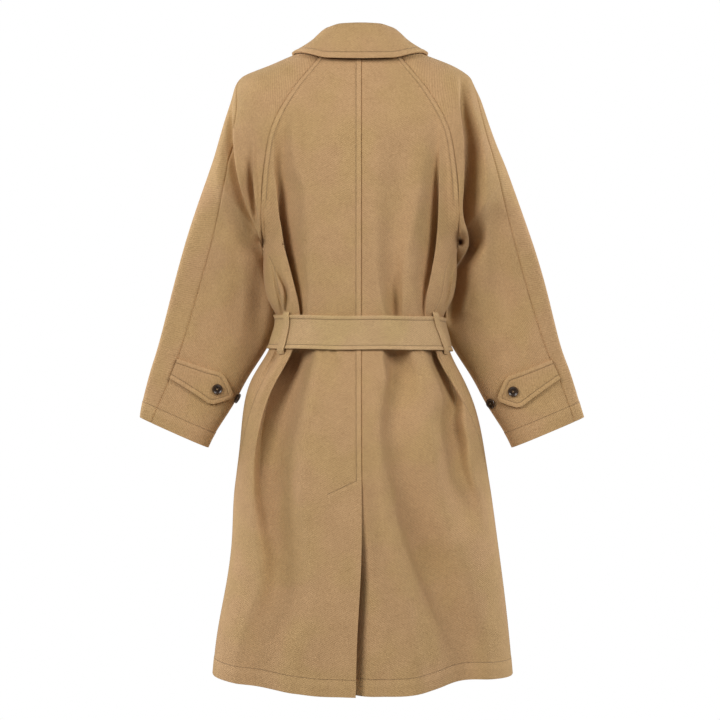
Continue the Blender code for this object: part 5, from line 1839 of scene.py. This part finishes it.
@dataclass
class FrontPanels:
    """The two fronts; the right one laps over the left one, with a hidden closing."""

    body: BodyForm
    rows: Rows
    columns: int = 60
    pull: float = 0.5
    lap_columns: int = 10
    neck_drop: float = 0.075
    underlap: float = 0.032
    overlap: float = 0.036
    lap_most: float = 0.9
    rise_start: float = 0.074
    rise: float = 0.026
    fly: float = 0.056
    fly_top: float = 0.09
    fly_foot: float = 0.98

    def neck_bend(self, u: Array) -> Array:
        """How the upper rows bend so that the neck edge curves evenly in to the centre front.

        Args:
            u: Shares from the centre front to the seam.

        Returns:
            Radians to add at each.
        """
        top = RAGLAN_SEAM[0]
        seam = np.pi - math.radians(top.angle_front)
        drop = self.neck_drop + (top.drop_front - self.neck_drop) * u ** 2.0
        reach = float(self.body.levels["half_width"](np.array(top.drop_front))) * math.sin(seam)
        return seam * u - np.arcsin(reach * np.sin(u * np.pi * 0.5) / self.body.levels["half_width"](drop))

    def grid(self, side: Side, s: Array, skirt: Array, u: Array, laps: Array) -> tuple[Array, Array]:
        """Angles and drops of a panel's rows.

        Args:
            side: Which panel.
            s: Row numbers down the raglan seam.
            skirt: Drops below the underarm.
            u: Shares from the centre front to the seam.
            laps: How far each lap column lies past the centre front.

        Returns:
            The angles and the drops.
        """
        top = RAGLAN_SEAM[0].drop_front
        low = self.body.underarm
        seam = self.body.raglan["drop_front"](s)[:, None]
        share = (seam - top) / (low - top)
        centre = self.neck_drop + (low - self.neck_drop) * share
        upper = np.pi + (np.radians(self.body.raglan["angle_front"](s))[:, None] - np.pi) * u
        upper = upper + self.neck_bend(u) * (1.0 - share) ** 5.0
        upper_drop = centre + (seam - centre) * u ** (2.0 - share)
        lower = np.pi + (np.radians(self.body.side(skirt))[:, None] - np.pi) * u
        lower_drop = np.repeat(skirt[:, None], len(u), axis=1)
        angle = np.concatenate([upper, lower]) if len(skirt) else upper
        drop = np.concatenate([upper_drop, lower_drop]) if len(skirt) else upper_drop
        if len(laps):
            width = self.body.levels["half_width"](drop[:, 0])
            turned = [np.arcsin(np.minimum(lap / width, self.lap_most)) for lap in laps]
            extra = np.pi + np.stack(turned, axis=1)
            angle = np.concatenate([extra, angle], axis=1)
            drop = np.concatenate([np.repeat(drop[:, :1], len(laps), axis=1), drop], axis=1)
        return angle * side.value, self.body.to_hem(angle * side.value, drop)

    def panel(self, side: Side) -> Cloth:
        """One front with its welts and stitch lines.

        Args:
            side: Which front.

        Returns:
            The cloth.
        """
        over = side is Side.RIGHT
        beyond = self.overlap if over else self.underlap
        laps = np.linspace(beyond, 0.0, self.lap_columns, endpoint=False)
        u = dense_ends(self.columns, self.pull)
        angle, drop = self.grid(side, self.rows.seam(), self.rows.skirt(), u, laps)
        x = self.body.smooth(angle, drop)[..., 0]
        raised = (WOOL_THICK + LAY_GAP) * ease((x + self.rise_start) / self.rise) if over else 0.0 * x
        points = self.body.place(angle, drop, raised)
        cloth = Cloth("front_panel_" + side.word, points, WOOL_THICK)
        upper = len(self.rows.seam())
        raglan = distance_to(points, points[:upper + 1, -1])
        hem = drop[-1:, :] - drop
        stitch = np.where(drop < RAGLAN_END, RAGLAN_WELT.line(raglan), NO_STITCH)
        stitch = np.minimum(stitch, HEM_TURN.line(hem))
        height = RAGLAN_WELT.raised(raglan) + HEM_TURN.raised(hem)
        if over:
            edge = np.linalg.norm(points - points[:, :1], axis=-1)
            sewn = (drop > self.fly_top) & (drop < self.fly_foot)
            stitch = np.minimum(stitch, np.where(sewn, edge - self.fly, NO_STITCH))
        cloth.stitch = stitch
        cloth.raise_by(height)
        return cloth

    def build(self, room: Workroom) -> None:
        """Makes both fronts."""
        room.cut(self.panel(Side.LEFT), "front_left")
        room.cut(self.panel(Side.RIGHT), "front_right")


@dataclass
class Sleeves:
    """The raglan sleeves: a back and a front half each, joined by the over-arm seam and the inner fold."""

    form: SleeveForm
    rows: Rows
    back_columns: int = 86
    front_columns: int = 66
    fine: int = 401
    pull: float = 0.5
    raglan_end: float = 0.24
    raglan_fade: float = 0.03
    cuff_reach: float = 0.05

    def panel(self, side: Side, before: bool) -> Cloth:
        """One half of a sleeve.

        Args:
            side: Which sleeve.
            before: Whether it is the front half.

        Returns:
            The cloth.
        """
        row = np.concatenate([self.rows.seam(), self.rows.arm()])[:, None]
        seam = self.form.seam_turn(side, row)
        sweep = self.form.sweep(row)
        u = np.linspace(0.0, 1.0, self.fine)[None, :]
        many = seam - (sweep + seam) * u if before else seam + (sweep - seam) * u
        rough = self.form.place(side, row + 0.0 * u, many)
        folds, count = ((), self.front_columns) if before else (BACK_FOLDS, self.back_columns)
        turn = crowded(many, rough[..., 0], -rough[..., 2], folds, count, self.pull)
        points = self.form.place(side, row + 0.0 * turn, turn)
        outward = points - self.form.middle(side, row)
        name = f"sleeve_{'front' if before else 'back'}_cloth_{side.word}"
        cloth = Cloth(name, points, WOOL_THICK, outward, grain=0)
        over_arm = OVER_ARM_EDGE.raised(distance_to(points, points[:, 0]))
        raglan = MEETING_EDGE.raised(distance_to(points, points[:len(self.rows.seam()), -1]))
        raglan = raglan * (1.0 - ease((-points[..., 2] - self.raglan_end) / self.raglan_fade))
        cuff = distance_to(points, points[-1], reach=self.cuff_reach)
        cloth.stitch = HEM_TURN.line(cuff)
        cloth.raise_by(HEM_TURN.raised(cuff) + over_arm + raglan)
        return cloth

    def build(self, room: Workroom) -> None:
        """Makes the four halves.

        Args:
            room: Where they are made.
        """
        for side in Side:
            word = side.word
            room.cut(self.panel(side, False), "sleeve_back_" + word)
            room.cut(self.panel(side, True), "sleeve_front_" + word)


@dataclass
class Collar:
    """The turn-down collar: a stand that rises from the neck seam, rolls over and falls outside."""

    body: BodyForm
    form: SleeveForm
    fronts: FrontPanels
    thick: float = 0.0042
    bevel: float = 0.0016
    gap: float = 0.0006
    back_knots: int = 15
    back_crowd: float = 0.82
    rear_knots: int = 10
    fore_knots: int = 13
    front_crowd: float = 1.1
    evened: int = 3
    upward: float = 0.05
    lifted: float = 0.02
    knots: int = 22
    columns: int = 190
    rows: int = 56
    fall_steps: tuple[float, ...] = (0.28, 0.62, 1.0)
    fall_start: float = 0.52
    rim_start: int = 30
    spread: float = 0.003
    edge: PuffedEdge = PuffedEdge(stitch=0.0105, puff=0.0007, dent=0.0005, dent_width=0.0014)
    sections: dict[str, Curve] = field(default_factory=lambda: column_curves(COLLAR_ROWS, "at"))

    def neck_line(self, side: Side) -> Array:
        """The panels' neck edge on one side, from the centre back to the centre front.

        Args:
            side: Which side.

        Returns:
            Places, normals and ways up.
        """
        s = np.array([0.0, 1.0])
        u = np.linspace(0.0, 1.0, self.back_knots) ** self.back_crowd
        drop = np.repeat(self.body.raglan["drop_back"](s)[:, None], len(u), axis=1)
        back = self.body.place(np.radians(self.body.raglan["angle_back"](s))[:, None] * u * side.value, drop)
        row = s[:, None]
        seam, sweep = self.form.seam_turn(side, row), self.form.sweep(row)
        u = np.linspace(0.0, 1.0, self.rear_knots)[None, :]
        rear = self.form.place(side, row + 0.0 * u, seam + (sweep - seam) * u)[:, ::-1]
        u = np.linspace(0.0, 1.0, self.fore_knots)
        fore = self.form.place(side, row + 0.0 * u[None, :], seam - (sweep + seam) * u[None, :])
        angle, drop = self.fronts.grid(side, s, np.zeros(0), u ** self.front_crowd, np.zeros(0))
        front = self.body.place(angle, drop)[:, ::-1]
        both = np.concatenate([back, rear[:, 1:], fore[:, 1:], front[:, 1:]], axis=1)
        normal = grid_normals(both, level_out(both) + (0.0, 0.0, self.upward))[0]
        return np.concatenate([both[0], normal, both[0] - both[1]], axis=1)

    def half(self, side: Side) -> Array:
        """The collar's middle line on one side.

        Args:
            side: Which side.

        Returns:
            Rows from the neck seam over the roll to the fall's edge.
        """
        line = self.neck_line(side)
        length = lengths_along(line[:, :3])
        at = np.linspace(0.0, 1.0, self.knots)
        line = walked(line, length, at * length[-1])
        seam, normal, up = line[:, :3], line[:, 3:6], line[:, 6:]
        along = unit(np.gradient(seam, axis=0))
        up = unit(up - along * np.sum(up * along, axis=1, keepdims=True))
        level = along * (1.0, 1.0, 0.0)
        level[0] = (side.value, 0.0, 0.0)
        level[-1] = (-side.value, 0.0, 0.0)
        for _ in range(self.evened):
            level[1:-1] = (level[:-2] + 2.0 * level[1:-1] + level[2:]) * 0.25
        level = unit(level)
        out = np.stack([level[:, 1], -level[:, 0], 0.0 * at], axis=1) * -side.value
        clear = self.gap + self.thick * 0.5 * np.abs(np.sum(up * out, axis=1, keepdims=True))
        base = seam + up * clear - normal * (WOOL_THICK * 0.5)
        stand, lean, belly = (self.sections[k](at)[:, None] for k in ("stand", "lean", "belly"))
        rise = np.array([0.0, 0.0, 1.0])
        rows = [base] + [base + out * (o - lean * share) + rise * (stand * share) for o, share in COLLAR_ROLL]
        start = rows[-1]
        end = base + out * self.sections["reach"](at)[:, None] - level * self.sections["shift"](at)[:, None]
        end[:, 2] = base[:, 2] + self.sections["edge"](at)
        for t in self.fall_steps:
            rows.append(start + (end - start) * t + out * (belly * math.sin(math.pi * t)))
        grid = np.array(rows)
        grid[:, -1, 0] += side.value * self.spread
        return grid

    def sheet(self) -> Cloth:
        """The collar's cloth with its edge stitching.

        Returns:
            The cloth.
        """
        left, right = self.half(Side.LEFT), self.half(Side.RIGHT)
        knots = np.concatenate([left[:, ::-1], right[:, 1:]], axis=1)
        steps = np.linalg.norm(np.diff(knots, axis=0), axis=-1).mean(axis=1)
        at = np.concatenate([[0.0], np.cumsum(steps)])
        down = Curve(at, knots)(np.linspace(0.0, at[-1], self.rows))
        over = Curve(np.arange(knots.shape[1]), down.transpose(1, 0, 2))
        points = over(np.linspace(0.0, knots.shape[1] - 1.0, self.columns)).transpose(1, 0, 2)
        outward = points - points.mean(axis=0, keepdims=True) + np.array([0.0, 0.0, self.lifted])
        cloth = Cloth("collar_cloth", points, self.thick, outward, bevel=self.bevel)
        cloth.raise_by(np.full(points.shape[:2], self.thick * 0.5))
        rim = rim_of(cloth.points[self.rim_start:])
        fall = np.arange(self.rows)[:, None] > self.rows * self.fall_start
        self.edge.sew(cloth, distance_to(cloth.points, rim), fall)
        return cloth

    def build(self, room: Workroom) -> None:
        """Makes the collar."""
        room.cut(self.sheet(), "collar")


@dataclass
class WaistBelt:
    """The belt with its two carriers, and its knot and ends at the front."""

    body: BodyForm
    top: float = 0.456
    foot: float = 0.513
    middle: float = 0.485
    clear: float = 0.0010
    thick: float = 0.0042
    bevel: float = 0.0014
    columns: int = 241
    rows: int = 30
    pull: float = 0.45
    front_extra: float = 0.0042
    front_start: float = 0.55
    front_fade: float = 0.35
    edge: PuffedEdge = PuffedEdge(stitch=0.0070, puff=0.0005, dent=0.0005, dent_width=0.0013)
    loop_angles: dict[Side, tuple[float, float]] = field(
        default_factory=lambda: {Side.LEFT: (57.5, 56.0), Side.RIGHT: (60.5, 67.5)})
    loop_width: float = 0.014
    loop_cloth: float = 0.0020
    loop_bevel: float = 0.0006
    loop_rows: int = 64
    loop_columns: int = 15
    loop_gap: float = 0.0010
    loop_seat: float = 0.0006
    loop_turn: float = 0.75
    loop_round: float = 0.0006
    knot_half: tuple[float, float, float] = (0.027, 0.011, 0.033)
    knot_gap: float = 0.0006
    knot_square: float = 0.74
    knot_slant: float = 0.35
    knot_wrap: float = 0.62
    knot_wrap_edge: float = 0.10
    knot_creases: tuple[float, float] = (0.05, 0.03)
    knot_crease_size: float = 0.6
    knot_core: float = 0.86
    knot_wrap_size: float = 0.12
    knot_segments: tuple[int, int] = (96, 64)
    end_rows: int = 110
    end_columns: int = 30
    end_pull: float = 0.4
    end_clear: float = 0.0038
    end_gap: float = 0.0012
    end_top: float = 0.5205
    end_point: float = 0.016
    end_foot: dict[Side, float] = field(default_factory=lambda: {Side.LEFT: 0.800, Side.RIGHT: 0.835})
    end_drift: dict[Side, float] = field(default_factory=lambda: {Side.LEFT: 0.014, Side.RIGHT: 0.006})
    end_half: tuple[float, float] = (0.017, 0.010)
    end_widen: float = 0.35
    end_place: tuple[float, float] = (0.022, 0.006)
    end_part: float = 0.3
    end_fold: float = 0.003
    end_open: float = 0.4
    end_sway: float = 0.0012

    def face(self, angle: Array, drop: Array, out: Array) -> Array:
        """Places round the waist, a distance outside the body's smooth form."""
        before = ease((-np.cos(angle) - self.front_start) / self.front_fade) * self.front_extra
        return self.body.smooth(angle, drop) + self.body.outward(angle, drop) * (out + before)[..., None]

    def band(self) -> Cloth:
        """The belt round the waist.

        Returns:
            The cloth.
        """
        angle = np.linspace(-np.pi, np.pi, self.columns)[None, :]
        share = dense_ends(self.rows, self.pull)[:, None]
        drop = self.top + (self.foot - self.top) * share
        angle, drop = np.broadcast_arrays(angle, drop)
        sway, wave = (
            sum(height * np.sin(count * angle + start) for height, count, start in table)
            for table in (BELT_SWAY, BELT_WAVE))
        points = self.face(angle, drop + sway, self.clear + self.thick + wave)
        cloth = Cloth("belt_band", points, self.thick, ring=True, bevel=self.bevel)
        self.edge.sew(cloth, np.minimum(drop - self.top, self.foot - drop))
        return cloth

    def carrier(self, side: Side) -> Cloth:
        """A carrier: sewn down above and below the belt, and lying over it.

        Args:
            side: Which carrier.

        Returns:
            The cloth.
        """
        over = self.clear + self.thick + self.loop_gap
        knots, rise = zip(*CARRIER_RISE)
        share = dense_ends(self.loop_rows, self.end_pull)
        drop = knots[0] + (knots[-1] - knots[0]) * share[:, None]
        out = self.loop_seat + (over - self.loop_seat) * Curve(knots, rise)(drop) + self.loop_cloth
        width = float(self.body.levels["half_width"](np.array(self.middle)))
        half = self.loop_width * 0.5 / (width * self.loop_turn)
        k = np.linspace(-1.0, 1.0, self.loop_columns)[None, :]
        top, foot = self.loop_angles[side]
        middle = np.radians(top + (foot - top) * (drop - self.top) / (self.foot - self.top))
        angle = side.value * (middle + half * k)
        angle, drop = np.broadcast_arrays(angle, drop)
        points = self.body.smooth(angle, drop) + self.body.outward(angle, drop) * out[..., None]
        points = points + self.body.outward(angle, drop) * (-self.loop_round * k ** 4)[..., None]
        return Cloth("carrier_" + side.word, points, self.loop_cloth, bevel=self.loop_bevel)

    def end(self, side: Side) -> Cloth:
        """A hanging end of the belt, lying on the fronts.

        Args:
            side: Which end.

        Returns:
            The cloth.
        """
        share = np.linspace(0.0, 1.0, self.end_rows)[:, None]
        k = dense_ends(self.end_columns, self.end_pull)[None, :] * 2.0 - 1.0
        half = self.end_half[0] + self.end_half[1] * ease(share / self.end_widen)
        middle = self.end_place[0] + self.end_place[1] * ease(share / self.end_part)
        x = side.value * (middle + self.end_drift[side] * share) + half * k
        length = self.end_foot[side] - self.end_top + self.end_point * (1.0 - np.abs(k))
        drop = self.end_top + length * share
        angle = np.pi - np.arcsin((x - self.body.levels["lean"](drop)) / self.body.levels["half_width"](drop))
        fold_in = self.end_fold * (1.0 - ease(share / self.end_open)) * np.cos(k * np.pi * 1.5)
        sway = self.end_sway * np.sin(9.0 * share + side.value) * np.sin(2.0 * k + 3.0 * share)
        out = self.end_clear + self.thick + self.end_gap + fold_in + sway
        points = self.body.place(angle, drop, out)
        cloth = Cloth("belt_end_cloth_" + side.word, points, self.thick, bevel=self.bevel)
        self.edge.sew(cloth, distance_to(points, rim_of(points)))
        return cloth

    def knot(self, room: Workroom) -> None:
        """The knot: a rounded wad of folded cloth, wrapped once round.

        Args:
            room: Where it is made.
        """
        front = float(self.body.levels["front"](np.array(self.middle)))
        front = front + self.front_extra + self.clear + self.thick
        bm = bmesh.new()
        across, down = self.knot_segments
        bmesh.ops.create_uvsphere(bm, u_segments=across, v_segments=down, radius=1.0)
        weave = bm.loops.layers.uv.new("weave")
        line = bm.verts.layers.float.new("topstitch")
        size = np.array(self.knot_half)
        middle = np.array([0.0, -front - size[1] - self.knot_gap, -self.middle])
        for v in bm.verts:
            d = np.array(v.co)
            slant = d[0] + self.knot_slant * d[2]
            wrap = float(ease(np.array((self.knot_wrap - abs(slant)) / self.knot_wrap_edge)))
            crease = self.knot_creases[0] * math.sin(13.0 * slant + 2.0 * d[2]) * (1.0 - abs(d[2]))
            crease = crease + self.knot_creases[1] * math.sin(21.0 * d[2] + 5.0 * d[0])
            d = np.sign(d) * np.abs(d) ** self.knot_square
            swell = self.knot_core + self.knot_wrap_size * wrap + crease * self.knot_crease_size
            v.co = d * swell * size + middle
            v[line] = NO_STITCH
        for f in bm.faces:
            for loop in f.loops:
                loop[weave].uv = (loop.vert.co.x, loop.vert.co.z)
        mesh = finished(bm, "belt_knot_cloth")
        made = room.piece("belt_knot_cloth", mesh, room.belting)
        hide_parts("belt_knot")

    def build(self, room: Workroom) -> None:
        """Makes the belt and what belongs to it.

        Args:
            room: Where it is made.
        """
        room.cut(self.band(), "belt", room.belting)
        for side in Side:
            room.cut(self.carrier(side), "belt_loop_" + side.word, room.belting)
        for side in Side:
            room.cut(self.end(side), "belt_end_" + side.word, room.belting)
        self.knot(room)


@dataclass
class Cuffs:
    """The pointed tabs on the cuffs, with a button on each and a spare one beyond its point."""

    form: SleeveForm
    row: dict[Side, float] = field(default_factory=lambda: {Side.LEFT: 12.66, Side.RIGHT: 12.79})
    tilt: dict[Side, float] = field(default_factory=lambda: {Side.LEFT: 1.5, Side.RIGHT: 2.4})
    row_step: float = 0.0535
    length: float = 0.111
    clear: float = 0.0010
    thick: float = 0.0042
    bevel: float = 0.0014
    edge: PuffedEdge = PuffedEdge(stitch=0.0075, puff=0.0005, dent=0.0006, dent_width=0.0013)
    tab_rows: int = 72
    tab_columns: int = 34
    pull: float = 0.5
    sag: float = 0.0006
    sag_point: float = 0.0010
    point_start: float = 0.75
    rim_start: int = 2
    fine: int = 61
    nudge: float = 0.001
    row_nudge: float = 0.02
    button_radius: float = 0.0092
    button_thick: float = 0.0036
    button_rim: float = 0.62
    button_fade: float = 0.3
    button_steps: int = 48
    button_merge: float = 1e-6
    button_sharp: float = math.radians(40.0)
    hole_segments: int = 16
    hole_ring: float = 0.0021
    hole_middle: float = 0.0022
    hole_depth: float = 0.0026
    hole_radii: tuple[float, float] = (0.00085, 0.00105)
    strand_half: tuple[float, float, float] = (0.0026, 0.00024, 0.00040)
    strand_beside: float = 0.00022
    strand_height: float = 0.0023
    seat: float = 0.0003
    tab_rise: float = 0.0008
    on_tab: float = 0.082
    spare: float = 0.1275

    def on_sleeve(self, side: Side, along: Array, down: Array) -> tuple[Array, Array]:
        """Places on a sleeve beside its over-arm seam.

        Args:
            side: Which sleeve.
            along: Distances along the row from the seam.
            down: Distances down from the tab's middle line.

        Returns:
            The places and their normals.
        """
        along, down = np.broadcast_arrays(np.asarray(along, float), np.asarray(down, float))
        row = self.row[side] + self.tilt[side] * along + down / self.row_step
        seam = self.form.seam_turn(side, row)[..., None]
        turn = seam + np.linspace(0.0, 1.0, self.fine) * (np.pi - seam)
        line = self.form.place(side, row[..., None] + 0.0 * turn, turn)
        length = np.cumsum(np.linalg.norm(np.diff(line, axis=-2), axis=-1), axis=-1)
        length = np.concatenate([0.0 * length[..., :1], length], axis=-1)
        at, beside = np.empty(along.shape), np.empty(along.shape)
        for i in np.ndindex(*along.shape):
            at[i] = np.interp(along[i], length[i], turn[i])
            beside[i] = np.interp(along[i] + self.nudge, length[i], turn[i])
        p = self.form.place(side, row, at)
        below = self.form.place(side, row + self.row_nudge, at)
        n = unit(np.cross(self.form.place(side, row, beside) - p, below - p))
        turned = np.sign(np.sum(n * (p - self.form.middle(side, row)), axis=-1, keepdims=True))
        return p, n * turned

    def tab(self, side: Side) -> Cloth:
        """A pointed tab with its edge stitching.

        Args:
            side: Which sleeve it is on.

        Returns:
            The cloth.
        """
        share = dense_ends(self.tab_rows, self.pull)[:, None]
        k = (dense_ends(self.tab_columns, self.pull) * 2.0 - 1.0)[None, :]
        half = np.interp(share, *zip(*TAB_OUTLINE))
        p, n = self.on_sleeve(side, share * self.length, k * half)
        point = ease((share - self.point_start) / (1.0 - self.point_start))
        sag = self.sag * np.sin(np.pi * share) + self.sag_point * point
        points = p + n * (self.clear + self.thick + sag)[..., None]
        cloth = Cloth("tab_" + side.word, points, self.thick, n, bevel=self.bevel)
        self.edge.sew(cloth, distance_to(points, rim_of(points[self.rim_start:])))
        return cloth

    def turned_blank(self, name: str) -> Mesh:
        """A button before it is drilled, turned from its profile.

        Args:
            name: The button's node.

        Returns:
            The mesh, with its foot at the origin.
        """
        bm = bmesh.new()
        radius, thick = self.button_radius, self.button_thick
        line = [bm.verts.new((r * radius, 0.0, h * thick)) for r, h in BUTTON_PROFILE]
        edges = [bm.edges.new(pair) for pair in zip(line, line[1:])]
        bmesh.ops.spin(
            bm, geom=line + edges, cent=(0, 0, 0), axis=(0, 0, 1), angle=2.0 * math.pi,
            steps=self.button_steps, use_merge=True, use_duplicate=False,
        )
        bmesh.ops.remove_doubles(bm, verts=bm.verts[:], dist=self.button_merge)
        bmesh.ops.recalc_face_normals(bm, faces=bm.faces[:])
        if bm.calc_volume(signed=True) < 0.0:
            bmesh.ops.reverse_faces(bm, faces=bm.faces[:])
        return finished(bm, name + "_body")

    def drill(self, name: str) -> Mesh:
        """What is cut out of a button for its four holes.

        Args:
            name: The button's node.

        Returns:
            The mesh.
        """
        bm = bmesh.new()
        for turn in (math.pi / 4.0 + quarter * math.pi / 2.0 for quarter in range(4)):
            at = (self.hole_ring * math.cos(turn), self.hole_ring * math.sin(turn), self.hole_middle)
            bmesh.ops.create_cone(
                bm, cap_ends=True, segments=self.hole_segments, radius1=self.hole_radii[0],
                radius2=self.hole_radii[1], depth=self.hole_depth, matrix=Matrix.Translation(at),
            )
        return finished(bm, name + "_holes")

    def button(self, name: str, place: Array, normal: Array, room: Workroom) -> None:
        """A turned horn button with a dished middle, four holes and its thread.

        Args:
            name: The node that it stands for.
            place: The middle of its foot.
            normal: Its way out.
            room: Where it is made.
        """
        blank = linked(name + "_blank", self.turned_blank(name))
        tool = linked(name + "_tool", self.drill(name))
        drill = blank.modifiers.new("holes", "BOOLEAN")
        drill.operation, drill.object, drill.solver = "DIFFERENCE", tool, "EXACT"
        drilled = blank.evaluated_get(bpy.context.evaluated_depsgraph_get())
        mesh = bpy.data.meshes.new_from_object(drilled)
        for spent in (blank, tool):
            shape = spent.data
            bpy.data.objects.remove(spent, do_unlink=True)
            bpy.data.meshes.remove(shape)
        mesh.name = name + "_turned"
        rim = mesh.attributes.new("rim", "FLOAT", "POINT")
        radius = np.array([math.hypot(v.co.x, v.co.y) / self.button_radius for v in mesh.vertices])
        rim.data.foreach_set("value", ease((radius - self.button_rim) / self.button_fade))
        turn = Vector(normal).to_track_quat("Z", "Y").to_matrix().to_4x4()
        at = Matrix.Translation(Vector(place)) @ turn
        mesh.transform(at)
        mesh.polygons.foreach_set("use_smooth", np.ones(len(mesh.polygons), bool))
        mesh.set_sharp_from_angle(angle=self.button_sharp)
        made = room.piece(name + "_turned", mesh, room.horn)
        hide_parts(name)
        self.button_thread(name, at, room)

    def button_thread(self, name: str, at: Matrix, room: Workroom) -> None:
        """The crossed thread in a button's holes.

        Args:
            name: The button's node.
            at: The button's place.
            room: Where it is made.
        """
        bm = bmesh.new()
        for a in (math.pi / 4.0, -math.pi / 4.0):
            for beside in (-self.strand_beside, self.strand_beside):
                fresh = bmesh.ops.create_uvsphere(bm, u_segments=8, v_segments=6, radius=1.0)["verts"]
                bmesh.ops.scale(bm, verts=fresh, vec=self.strand_half)
                bmesh.ops.translate(bm, verts=fresh, vec=(0.0, beside, self.strand_height))
                bmesh.ops.rotate(bm, verts=fresh, cent=(0, 0, 0), matrix=Matrix.Rotation(a, 3, "Z"))
        bmesh.ops.transform(bm, matrix=at, verts=bm.verts[:])
        room.piece(name + "_thread", finished(bm, name + "_thread"), room.thread)

    def build(self, room: Workroom) -> None:
        """Makes the tabs and the buttons.

        Args:
            room: Where they are made.
        """
        tab_lift = self.clear + self.thick + self.tab_rise
        for side in Side:
            room.cut(self.tab(side), "sleeve_tab_" + side.word)
            for kind, along, lift in (("tab", self.on_tab, tab_lift), ("spare", self.spare, 0.0)):
                p, n = self.on_sleeve(side, np.array(along), np.array(0.0))
                self.button(f"button_{side.word}_{kind}", p + n * (lift + self.seat), n, room)


@dataclass
class Studio:
    """A pale floor, two soft lights on the coat's back, two beside its front, and a camera behind it."""

    distance: float = 3.2
    height: float = -0.5306
    lens: float = 93.0
    sensor: float = 36.0
    floor_drop: float = 1.75
    floor_radius: float = 1.5
    floor_segments: int = 96
    lamp: tuple[float, float, float] = (1.72, 1.90, 0.64)
    rim: tuple[float, float, float] = (2.30, -1.10, 0.42)
    aim: tuple[float, float, float] = (0.0, 0.0, -0.5)
    lamp_size: float = 1.3
    left_power: float = 50.0
    right_power: float = 43.3
    rim_share: float = 1.25
    ambient: float = 0.09

    def area_light(self, name: str, place: Vector, power: float) -> None:
        """Adds a square soft light that is turned to the coat's middle.

        Args:
            name: Its name.
            place: Where it stands.
            power: Its power in watts.
        """
        light = bpy.data.lights.new(name, "AREA")
        light.size = self.lamp_size
        light.energy = power
        lamp = linked(name, light)
        lamp.location = place
        lamp.rotation_euler = (Vector(self.aim) - place).to_track_quat("-Z", "Y").to_euler()

    def world(self) -> None:
        """White behind the coat, and an even light all round."""
        world = bpy.data.worlds.new("studio")
        world.use_nodes = True
        n = Nodes(world.node_tree)
        seen = n.add("LightPath").outputs["Is Camera Ray"]
        strength = n.sum("MULTIPLY_ADD", seen, 1.0 - self.ambient, self.ambient)
        back = world.node_tree.nodes["Background"]
        back.inputs["Color"].default_value = (1.0, 1.0, 1.0, 1.0)
        world.node_tree.links.new(strength, back.inputs["Strength"])
        bpy.context.scene.world = world

    def build(self) -> None:
        """Makes the floor, the lights and the camera."""
        bm = bmesh.new()
        bmesh.ops.create_circle(bm, cap_ends=True, segments=self.floor_segments, radius=self.floor_radius)
        bmesh.ops.translate(bm, verts=bm.verts[:], vec=(0.0, 0.0, -self.floor_drop))
        mesh = finished(bm, "floor")
        mesh.materials.append(FloorFinish().material())
        floor = linked("floor", mesh)
        self.world()
        for side in Side:
            power = self.left_power if side is Side.LEFT else self.right_power
            turned = Vector((side.value, 1.0, 1.0))
            self.area_light("lamp_" + side.word, Vector(self.lamp) * turned, power)
            self.area_light("rim_" + side.word, Vector(self.rim) * turned, power * self.rim_share)
        camera = bpy.data.cameras.new("photo")
        camera.lens = self.lens
        camera.sensor_width = self.sensor
        view = linked("photo", camera)
        view.location = (0.0, self.distance, self.height)
        view.rotation_euler = (math.pi / 2.0, 0.0, math.pi)
        bpy.context.scene.camera = view
        bpy.context.scene.view_settings.view_transform = "Standard"


def main() -> None:
    """Builds the coat in its studio."""
    logging.basicConfig(level=logging.INFO, format="%(name)s %(message)s")
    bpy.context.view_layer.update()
    Studio().build()
    weave, nap = TwillWeave().group(), BrushedNap().group()
    wool = WoolFinish().material(weave, nap)
    # painted light: the belt gets a lighter, paler copy of the coat's wool; the cloth is the same, and the
    # extra lightness stands for more light falling on the belt
    belting = WoolFinish("belt_wool", (0.365, 0.222, 0.103), (0.680, 0.456, 0.240)).material(weave, nap)
    room = Workroom(wool, belting, ThreadFinish().material(), HornFinish().material())
    body = BodyForm()
    form = SleeveForm(body)
    rows = Rows(body)
    fronts = FrontPanels(body, rows)
    BackPanels(body, rows).build(room)
    fronts.build(room)
    Sleeves(form, rows).build(room)
    Collar(body, form, fronts).build(room)
    WaistBelt(body).build(room)
    Cuffs(form).build(room)


if __name__ == "__main__":
    main()
